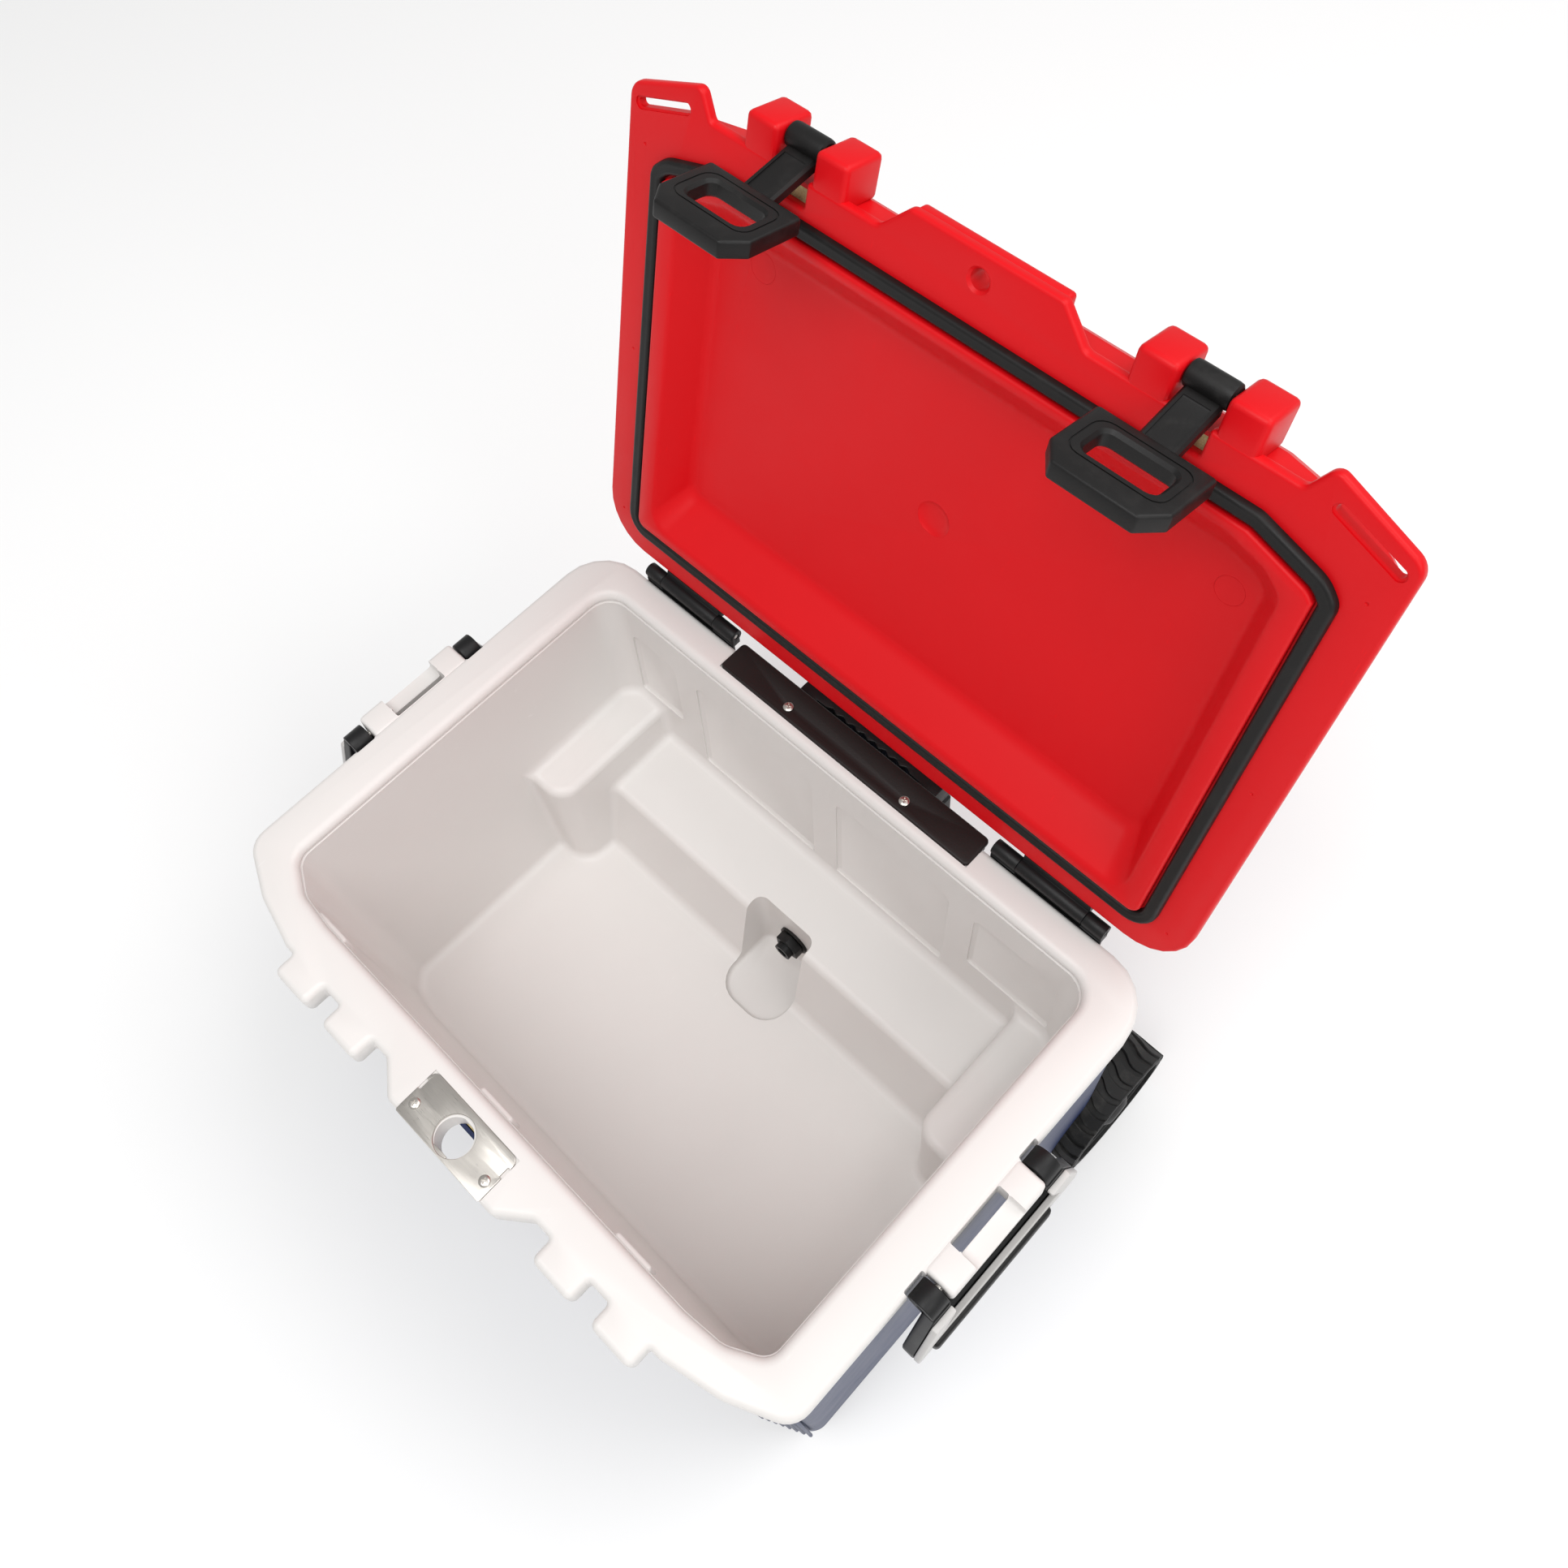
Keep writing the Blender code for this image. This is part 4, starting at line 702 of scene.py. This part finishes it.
def build_liner():
    """The whole liner: rim, wall, recessed back panels, ears for the handles and screw holes."""
    air = air_solid(0.0, soft=0.009)
    panels = ((-0.246, -0.190, 0.142), (-0.163, -0.021, 0.186), (0.007, 0.133, 0.186),
              (0.159, 0.246, 0.142))
    panel_sections = [(back(0.050), 0.0), (back(0.0300), 0.0), (back(0.0279), 0.0030)]
    for low, high, foot in panels:
        corners = [(low, RIM_TOP - foot, 0.004), (high, RIM_TOP - foot, 0.004),
                   (high, RIM_TOP - PANEL_TOP, 0.010), (low, RIM_TOP - PANEL_TOP, 0.010)]
        recess = prism("panel", corners, panel_sections, axis="Y")
        for vertex in recess.data.vertices:
            vertex.co.y -= (RIM_TOP - vertex.co.z) * WALL_LEAN
        add(air, recess)
    rim_sections = rolled(RIM_TOP - 0.022, 0.002, False, 2) + rolled(RIM_TOP, 0.0055, True)
    liner = prism("liner", rim_corners(), rim_sections, steps=5)
    for side in (-1, 1):
        low_x, high_x = sorted((side * 0.3066, side * 0.333))
        add(liner, block("ear", (low_x, back(0.265), RIM_TOP - 0.024),
                         (high_x, back(0.164), RIM_TOP - 0.0006), soften=0.0035))
        for start, end in ((0.146, 0.163), (0.267, 0.285)):
            low_x, high_x = sorted((side * 0.3065, side * 0.340))
            cut(liner, block("knuckle room", (low_x, back(end + 0.0008), RIM_TOP - 0.032),
                             (high_x, back(start - 0.0008), RIM_TOP + 0.01), soften=0.0015))
        low_x, high_x = sorted((side * 0.3085, side * 0.3183))
        cut(liner, block("window", (low_x, back(0.240), RIM_TOP - 0.032),
                         (high_x, back(0.1875), RIM_TOP + 0.01), soften=0.0015))
        low_x, high_x = sorted((side * 0.3173, side * 0.343))
        cut(liner, block("bar top", (low_x, back(0.240), RIM_TOP - 0.011),
                         (high_x, back(0.1875), RIM_TOP + 0.01), soften=0.003))
    mouth = [(RIM_TOP - 0.010, -0.001)]
    mouth += [(height, -inward) for height, inward in rolled(RIM_TOP, 0.0075, True, 5)]
    mouth.append((RIM_TOP + 0.006, -0.0080))
    wall = air_solid(0.0075)
    trim = block("trim", (-0.4, back(0.5), RIM_TOP - 0.009), (0.4, back(-0.1), RIM_TOP + 0.1))
    add(liner, cut(wall, trim))
    cut(liner, air, prism("mouth", mouth_corners(0.0), mouth, steps=8))
    seat = block("lock seat", (-0.0483, back(0.459), RIM_TOP - 0.0015),
                 (0.0483, back(0.4097), RIM_TOP + 0.01))
    hole = rod("lock hole", 0.0150, (0.0, back(0.4323), 0.0), "Z", RIM_TOP - 0.03, RIM_TOP + 0.01, 40)
    cover = block("cover seat", (-0.1373, back(0.0215), RIM_TOP - 0.0025),
                  (0.1373, back(-0.01), RIM_TOP + 0.01))
    cut(liner, seat, hole, cover)
    lug = block("lug", (-0.0045, back(0.4185), RIM_TOP - 0.021),
                (0.0085, back(0.4160), RIM_TOP - 0.003), 0.0008)
    add(liner, lug)
    for x in (-0.205, 0.0, 0.150):
        ledge = [(x - 0.021, back(0.4005), 0.001), (x - 0.017, back(0.3930), 0.003),
                 (x + 0.017, back(0.3930), 0.003), (x + 0.021, back(0.4005), 0.001)]
        sections = rolled(RIM_TOP - 0.040, 0.003, False, 2) + rolled(RIM_TOP - 0.012, 0.003, True, 3)
        add(liner, prism("ledge", list(reversed(ledge)), sections, steps=3))
    for x, depth in (LOCK_SCREW, COVER_SCREW):
        for side in (-1, 1):
            cut(liner, rod("screw hole", 0.002, (side * x, back(depth), 0.0), "Z",
                           RIM_TOP - 0.013, RIM_TOP + 0.01, 12))
    return cut(liner, drain_cutter(0.104))


show(build_liner(), WHITE, "inner_tub", "rim_frame")

# %% [markdown]
# ## The lid
# The lid's underside is one red moulding: a flange, a plug ring that fills the mouth, a deep tray and
# four bosses that carry the latch pins. It is drawn lying shut over the box, where its sizes are easy
# to read, and swung open at the end. Small marks that a moulding tool leaves, such as ejector rings
# and pin dents, are cut in because the eye expects them on a plain wall.

# %% Lid
LID_HALF = 0.3065
LID_FRONT = 0.431
LID_NOSE = 0.4538
TRAY_FLOOR = -0.0235
LATCH_X = abs(joints["latch_swing_left"]["pos_m"][0])


def flange_corners():
    """Outline of the lid's flange, with a notch for each latch neck."""
    notch = 0.0138
    half = [(0.059, LID_NOSE, 0.006), (0.081, LID_FRONT, 0.008),
            (LATCH_X - notch, LID_FRONT, 0.002), (LATCH_X - notch, LID_FRONT - 0.019, 0.002),
            (LATCH_X + notch, LID_FRONT - 0.019, 0.002), (LATCH_X + notch, LID_FRONT, 0.002),
            (0.229, LID_FRONT, 0.005), (0.240, LID_NOSE - 0.002, 0.007),
            (LID_HALF, LID_FRONT - 0.004, 0.014), (LID_HALF, 0.0122, 0.045)]
    return mirrored(lid_plan(half))


def gasket_corners():
    """Outline of the seal's outer edge."""
    half = [(0.2155, 0.405, 0.020), (0.2655, 0.390, 0.030), (0.2775, 0.378, 0.014),
            (0.2775, 0.036, 0.022)]
    return mirrored(lid_plan(half))


def pan_corners(level):
    """Outline of the lid's tray: 0 at its mouth, 1 at its floor."""
    mouth = [(0.203, 0.384, 0.020), (0.232, 0.376, 0.020), (0.2475, 0.364, 0.014),
             (0.2475, 0.060, 0.018)]
    floor = [(0.200, 0.352, 0.020), (0.222, 0.3465, 0.020), (0.232, 0.338, 0.010),
             (0.232, 0.091, 0.012)]
    half = []
    for at_mouth, at_floor in zip(mouth, floor):
        half.append(tuple(a + (b - a) * level for a, b in zip(at_mouth, at_floor)))
    return mirrored(lid_plan(half))


def pan_solid(sections):
    """The tray's hollow from (w, inset) sections; its walls lean in toward its floor."""
    rings = []
    for w, distance in sections:
        outline = rounded(inset(pan_corners((0.007 - w) / 0.0305), distance), 8)
        rings.append([Vector((point.x, point.y, lid_z(w))) for point in outline])
    return loft("tray", rings)


def ring_mark(x, v, radius, z):
    """A hair-thin ring pressed into the tray's floor."""
    profile = [(radius - 0.0004, z - 0.001), (radius + 0.0004, z - 0.001), (radius, z + 0.0003)]
    return lathe("ring mark", profile, (x, HINGE.y - v, 0.0), "Z", 56, closed=True)


def build_lid_panel():
    """The lid's underside, with its bosses, its tray and the marks of its mould."""
    under, over = lid_z(0.0), lid_z(-0.008)
    flange_sections = rolled(under, 0.0028, False) + rolled(over, 0.0018, True, 2)
    panel = prism("lid_underside", flange_corners(), flange_sections)
    ring = inset(gasket_corners(), 0.013)
    add(panel, prism("plug ring", ring, rolled(lid_z(0.0074), 0.0025, False) + [(lid_z(-0.002), 0.0)]))
    add(panel, pan_solid([(0.006, -0.003), (-0.0265, -0.003)]))
    cut(panel, pan_solid([(0.014, -0.0022), (0.0076, -0.0022), (0.0064, -0.0007), (0.0048, 0.0),
                          (-0.0180, 0.0), (-0.0210, 0.0007), (-0.0228, 0.0022), (TRAY_FLOOR, 0.0050)]))
    for centre in (-LATCH_X, LATCH_X):
        for side in (-1, 1):
            middle = centre + side * 0.0305
            add(panel, block("boss", (middle - 0.014, HINGE.y - 0.455, lid_z(-0.0004)),
                             (middle + 0.014, HINGE.y - 0.422, lid_z(-0.036)), soften=0.0042))
    add(panel, block("front rib", (-0.0585, HINGE.y - LID_NOSE + 0.0003, lid_z(-0.006)),
                     (0.0585, HINGE.y - 0.425, lid_z(-0.016)), soften=0.003))
    padlock = [(0.0, lid_z(-0.03)), (0.0072, lid_z(-0.03)), (0.0072, lid_z(-0.002)),
               (0.0096, lid_z(0.0004)), (0.0, lid_z(0.0004))]
    cut(panel, lathe("padlock hole", padlock, (0.0, HINGE.y - 0.4354, 0.0), "Z", 40))
    for side in (-1, 1):
        slot = [(-0.026, -0.00325, 0.003), (0.026, -0.00325, 0.003), (0.026, 0.00325, 0.003),
                (-0.026, 0.00325, 0.003)]
        slot_sections = [(-0.02, 0.0), (-0.0005, 0.0), (0.0, -0.0015), (0.01, -0.0015)]
        tool = prism("tie-down slot", slot, slot_sections)
        tool.data.transform(Matrix.Translation((side * 0.2735, HINGE.y - 0.4233, under + 0.0015))
                            @ Matrix.Rotation(side * math.atan2(0.0167, 0.049), 4, "Z")
                            @ Matrix.Diagonal((1.0, 1.0, -1.0, 1.0)))
        cut(panel, mend(tool))
        for v in (0.3886, 0.215, 0.0463):
            dent = [(0.0, under - 0.001), (0.0019, under - 0.001), (0.0007, under + 0.0009),
                    (0.0, under + 0.0009)]
            cut(panel, lathe("pin dent", dent, (side * 0.2885, HINGE.y - v, 0.0), "Z", 12))
    floor_z = lid_z(TRAY_FLOOR)
    dish = [(0.0, floor_z - 0.004), (0.0150, floor_z - 0.004), (0.0142, floor_z + 0.0002),
            (0.0125, floor_z + 0.0016), (0.0080, floor_z + 0.0024), (0.0, floor_z + 0.0026)]
    cut(panel, lathe("dish", dish, (0.0, HINGE.y - 0.228, 0.0), "Z", 48))
    cut(panel, ring_mark(-0.187, 0.334, 0.012, floor_z), ring_mark(0.212, 0.323, 0.0105, floor_z))
    panel.data.transform(lid_matrix())
    return panel


def build_gasket():
    """The seal: a rubber strip with two soft ridges."""
    top, low = lid_z(0.0003), lid_z(0.0062)
    section = [(0.0, top), (0.0004, low + 0.0022), (0.0016, low + 0.0006), (0.0034, low),
               (0.0058, low + 0.0009), (0.0081, low), (0.0099, low + 0.0006), (0.0111, low + 0.0022),
               (0.0115, top)]
    gasket = band("lid_seal", gasket_corners(), section)
    gasket.data.transform(lid_matrix())
    return gasket


show(build_lid_panel(), RED, "lid_panel", degrees=30)
show(build_gasket(), RUBBER, "lid_gasket", degrees=50)

# %% [markdown]
# ## Latches
# Each latch is one piece of black rubber: an eye round a steel pin between two bosses, a neck with a
# sunk panel, and a wide grip with a finger hole that a hand pulls over two tabs of the rim. The
# whole latch is drawn about its pin and then carried to the open lid.

# %% Latches
def build_latch(pivot, name):
    """A latch about its pin: eye, neck, grip and finger hole."""
    eye = [(0.0, -0.0160), (0.0070, -0.0160), (0.0086, -0.0148), (0.0090, -0.0125),
           (0.0090, 0.0125), (0.0086, 0.0148), (0.0070, 0.0160), (0.0, 0.0160)]
    latch = lathe(f"rubber_latch_{name}", eye, (0.0, 0.0, 0.0), "X", 40)
    lean = math.tan(math.radians(20))
    top, foot, thick = -0.004, -0.052, 0.010
    front, reach = 0.0025, 0.0025 + lean * 0.048
    neck = [(reach, foot, 0.001), (reach + thick, foot, 0.001), (front + thick, top, 0.001),
            (front, top, 0.001)]
    sections = [(-0.013, 0.0018), (-0.0112, 0.0), (0.0112, 0.0), (0.013, 0.0018)]
    add(latch, prism("neck", neck, sections, axis="X", steps=2))
    frame_low, frame_high = -0.046, -0.013
    sunk = [(front + lean * (-frame_low - 0.004) - 0.004, frame_low, 0.001),
            (front + lean * (-frame_low - 0.004) + 0.0011, frame_low, 0.001),
            (front + lean * (-frame_high - 0.004) + 0.0011, frame_high, 0.001),
            (front + lean * (-frame_high - 0.004) - 0.004, frame_high, 0.001)]
    cut(latch, prism("neck panel", sunk, [(-0.0092, 0.0), (0.0092, 0.0)], axis="X", steps=1))
    half, grip_top, grip_foot = 0.0405, -0.047, -0.109
    grip = [(-half + 0.012, grip_foot, 0.003), (half - 0.012, grip_foot, 0.003),
            (half, grip_foot + 0.016, 0.003), (half, grip_top, 0.003), (-half, grip_top, 0.003),
            (-half, grip_foot + 0.016, 0.003)]
    face = 0.016
    rounded_over = rolled(face, 0.0022, False, 3) + rolled(face + 0.013, 0.0022, True, 3)
    add(latch, prism("grip", grip, rounded_over, axis="Y", steps=3))
    hole = [(-0.025, -0.087, 0.006), (0.025, -0.087, 0.006), (0.025, -0.061, 0.006),
            (-0.025, -0.061, 0.006)]
    flare = [(face - 0.001, -0.0032), (face + 0.0022, 0.0), (face + 0.0108, 0.0),
             (face + 0.014, -0.0032)]
    cut(latch, prism("finger hole", hole, flare, axis="Y", steps=4))
    brim = [(x * 1.32, -0.074 + (z + 0.074) * 1.5, radius + 0.004) for x, z, radius in hole]
    cut(latch, band_groove(brim, face))
    cut(latch, rod("pin bore", 0.0028, (0.0, 0.0, 0.0), "X", -0.03, 0.03))
    opened = Matrix.Rotation(-LID_OPEN, 4, "X")
    latch.data.transform(Matrix.Translation(pivot) @ opened)
    return latch


def band_groove(corners, face):
    """A shallow groove round the finger hole, on the face that a hand sees."""
    rings = []
    outside, bottom, width = face - 0.001, face + 0.0006, 0.0012
    for distance, along in ((0.0, outside), (0.0, bottom), (width, bottom), (width, outside)):
        outline = rounded(inset(corners, distance), 4)
        rings.append([Vector((point.x, along, point.y)) for point in outline])
    return loft("groove", rings, closed=True)


for side, name in SIDES:
    pivot = Vector(joints[f"latch_swing_{name}"]["pos_m"])
    show(build_latch(pivot, name), RUBBER, f"latch_{name}")

# %% [markdown]
# ## Steel on the rim
# A sheet of stainless steel guards the lock hole and doubles as a bottle opener. It was stamped, so
# its edges are square with only a hair of roundness, and each end has a small notch.

# %% Lock plate and screws
def build_lock_plate():
    """The steel guard, with its opener hole, the tooth in it and its screw holes."""
    seat = RIM_TOP - 0.0012
    top = seat + 0.0018
    half = [(0.048, 0.4495, 0.002), (0.048, 0.4275, 0.0006), (0.0458, 0.4275, 0.0006),
            (0.0458, 0.4185, 0.0006), (0.048, 0.4185, 0.0006), (0.048, 0.410, 0.0065)]
    sections = rolled(seat, 0.0002, False, 1) + rolled(top, 0.00035, True, 2)
    plate = prism("lock_guard", mirrored(plan(half)), sections)
    flare = [(0.0, seat - 0.001), (0.0162, seat - 0.001), (0.0162, top - 0.0004),
             (0.0169, top + 0.0004), (0.0, top + 0.0004)]
    cut(plate, lathe("opener", flare, (0.0, back(0.4315), 0.0), "Z", 72))
    add(plate, block("tooth", (-0.007, back(0.4486), seat),
                     (0.007, back(0.4449), top - 0.0004), soften=0.0002))
    for side in (-1, 1):
        bore = [(0.0, seat - 0.001), (0.002, seat - 0.001), (0.002, top + 0.001), (0.0, top + 0.001)]
        place = (side * LOCK_SCREW[0], back(LOCK_SCREW[1]), 0.0)
        cut(plate, lathe("screw seat", bore, place, "Z", 24))
    return plate


def build_screw(name, node):
    """A domed screw with a cross recess, where the plain one stands."""
    low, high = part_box(node)
    centre = Vector(((low.x + high.x) / 2, (low.y + high.y) / 2, 0.0))
    seat = high.z - 0.0021
    profile = [(0.0, low.z), (0.0017, low.z), (0.0017, seat + 0.0003), (0.0043, seat + 0.0003),
               (0.0045, seat + 0.0006), (0.0044, seat + 0.0010), (0.0038, seat + 0.0015),
               (0.0028, seat + 0.0019), (0.0, seat + 0.0021)]
    screw = lathe(name, profile, centre, "Z", 48)
    for turn in (30.0, 120.0):
        slot = block("slot", (-0.0024, -0.00042, seat + 0.0008), (0.0024, 0.00042, seat + 0.004))
        slot.data.transform(Matrix.Translation(centre) @ Matrix.Rotation(math.radians(turn), 4, "Z"))
        cut(screw, slot)
    return screw


show(build_lock_plate(), STEEL, "lock_plate")
for holder in ("lock_plate", "rear_cover"):
    for _, name in SIDES:
        node = f"{holder}_screw_{name}"
        show(build_screw(f"cross_screw_{holder}_{name}", node), STEEL, node)

# %% [markdown]
# ## Side handles
# Each side handle is three mouldings: a black bail that swings on two pins, a pale trim on its outer
# face, and a rubbery grip. The CAD shapes are right, so they are copied, their flat faces are made
# whole and every edge is rolled over by half a millimetre or so. The same treatment suits the small
# black fittings.

# %% Handles and small fittings
SOFT_COPIES = {"side_bail": 0.0007, "side_trim": 0.0007, "side_grip": 0.0009, "hinge_base": 0.0005,
               "hinge_leaf": 0.0004, "rear_cover": 0.0006, "pull_grip": 0.0012, "pull_guide": 0.0008,
               "foot": 0.0015, "axle_clamp": 0.0006, "drain_nut": 0.0007, "drain_cap": 0.0007}
for node in sorted(nodes):
    family = node.removesuffix("_left").removesuffix("_right")
    if family in SOFT_COPIES:
        piece = soften_edges(copied(node, f"soft_{node}"), SOFT_COPIES[family], segments=2, degrees=40)
        show(piece, FINISHES[node_slot[node]], node, degrees=50)

# %% [markdown]
# ## The body
# The navy shell is a box with broad, plain walls and a soft foot. Upright ribs stiffen its two front
# corners, and the wheels' wells, the axle's channel and the drain hole are cut out of its back.

# %% Body shell
BODY_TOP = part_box("body_shell")[1].z
BODY_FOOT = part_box("body_shell")[0].z
WHEEL = Vector(joints["wheel_spin_right"]["pos_m"])
WHEEL_HALF = 0.023
RIBS = 15


def body_corners():
    """Outline of the shell at its top."""
    half = [(0.212, 0.424, 0.014), (0.260, 0.4135, 0.040), (0.306, 0.392, 0.022), (0.306, 0.004, 0.042)]
    return mirrored(plan(half))


def build_body():
    """The outer shell, open at the top."""
    sections = rolled(BODY_FOOT, 0.010, False, 4, start=0.004)
    sections += [(BODY_TOP - 0.0100, 0.0012), (BODY_TOP - 0.0085, 0.0), (BODY_TOP, 0.0)]
    body = prism("navy_body", body_corners(), sections, steps=8)
    hollow = [(BODY_FOOT + 0.003, 0.008), (BODY_TOP + 0.01, 0.003)]
    cut(body, prism("inside", body_corners(), hollow, steps=8))
    rib = [(0.0, BODY_FOOT + 0.030), (0.0016, BODY_FOOT + 0.034), (0.0016, BODY_TOP - 0.016),
           (0.0, BODY_TOP - 0.012)]
    for side in (-1, 1):
        for index in range(RIBS):
            share = index / (RIBS - 1)
            x = 0.222 + 0.078 * share
            if x < 0.260:
                depth = 0.4218 - 0.0105 * (x - 0.212) / 0.048
            else:
                depth = 0.4125 - 0.0215 * (x - 0.260) / 0.046
            add(body, lathe("rib", rib, (side * x, back(depth - 0.0006), 0.0), "Z", 10))
    inner = WHEEL.x - WHEEL_HALF - 0.015
    for side in (-1, 1):
        low, high = sorted((side * inner, side * 0.336))
        cut(body, rod("well", 0.075, (0.0, WHEEL.y, WHEEL.z), "X", low, high, 72))
    cut(body, block("channel", (-inner - 0.01, WHEEL.y - 0.009, WHEEL.z - 0.010),
                    (inner + 0.01, back(-0.02), WHEEL.z + 0.010)))
    return cut(body, drain_cutter(0.05))


show(build_body(), NAVY, "body_shell", degrees=28)

# %% [markdown]
# ## Wheels
# The tyres are hard rubber with paddle-shaped blocks across the tread, and the wheel discs have a rim,
# a hub and ribs between them. One block and one rib are made, and turned round the axle.

# %% Tyres and wheel discs
TREAD_BLOCKS = 24
WHEEL_RIBS = 10
SLICES = 12


def turned_copies(name, profile_ring, axle, count, along):
    """Loft one block between two rings and set copies of it round the axle."""
    verts = []
    faces = []
    size = len(profile_ring)
    for index in range(count):
        turn = Matrix.Rotation(2 * math.pi * index / count, 4, "X")
        base = len(verts)
        for x, twist, shrink in along:
            turned = turn @ Matrix.Rotation(twist, 4, "X")
            for angle, radius in profile_ring:
                around = angle * shrink
                verts.append(turned @ Vector((x, radius * math.sin(around), radius * math.cos(around))))
        for level in range(len(along) - 1):
            for step in range(size):
                beside = (step + 1) % size
                low, high = base + level * size, base + (level + 1) * size
                faces.append((low + step, low + beside, high + beside, high + step))
        faces.append(tuple(range(base, base + size)))
        faces.append(tuple(range(base + (len(along) - 1) * size, base + len(along) * size)))
    made = make_object(name, verts, faces)
    made.data.transform(Matrix.Translation(axle))
    return made


def build_tyre(name):
    """A tread ring with its wavy blocks."""
    axle = Vector(joints[f"wheel_spin_{name}"]["pos_m"])
    half = WHEEL_HALF
    outline = [(0.0563, -half), (0.0625, -half), (0.0638, -half + 0.0015), (0.0645, -half + 0.004),
               (0.0645, half - 0.004), (0.0638, half - 0.0015), (0.0625, half), (0.0563, half)]
    tyre = lathe(f"tread_{name}", outline, axle, "X", 96, closed=True)
    pitch = 2 * math.pi / TREAD_BLOCKS
    paddle = [(-0.36 * pitch, 0.0635), (0.36 * pitch, 0.0635), (0.34 * pitch, 0.0662),
              (0.30 * pitch, 0.0669), (-0.30 * pitch, 0.0669), (-0.34 * pitch, 0.0662)]
    along = []
    for step in range(SLICES + 1):
        x = -half + 0.0004 + (2 * half - 0.0008) * step / SLICES
        swing = 0.30 * pitch * math.sin(math.pi * x / half * 0.9)
        waist = 1.0 - 0.32 * math.exp(-(x / 0.006) ** 2)
        along.append((x, swing, waist))
    return join(tyre, turned_copies("blocks", paddle, axle, TREAD_BLOCKS, along))


def build_disc(side, name):
    """The wheel's disc, with ribs on its outer face."""
    axle = Vector(joints[f"wheel_spin_{name}"]["pos_m"])
    disc = soften_edges(copied(f"wheel_{name}", f"wheel_disc_{name}"), 0.0008, segments=2, degrees=40)
    rib = [(-0.045, 0.0205), (0.045, 0.0205), (0.0165, 0.0480), (-0.0165, 0.0480)]
    low, high = sorted((side * 0.0075, side * 0.0135))
    return join(disc, turned_copies("ribs", rib, axle, WHEEL_RIBS, [(low, 0.0, 1.0), (high, 0.0, 0.8)]))


for side, name in SIDES:
    show(build_tyre(name), TYRE, f"tyre_{name}", degrees=30)
    show(build_disc(side, name), BLACK, f"wheel_{name}", degrees=30)
    cap = soften_edges(copied(f"wheel_cap_{name}", f"hub_cap_{name}"), 0.0006, segments=2, degrees=40)
    show(cap, BLACK, f"wheel_cap_{name}")
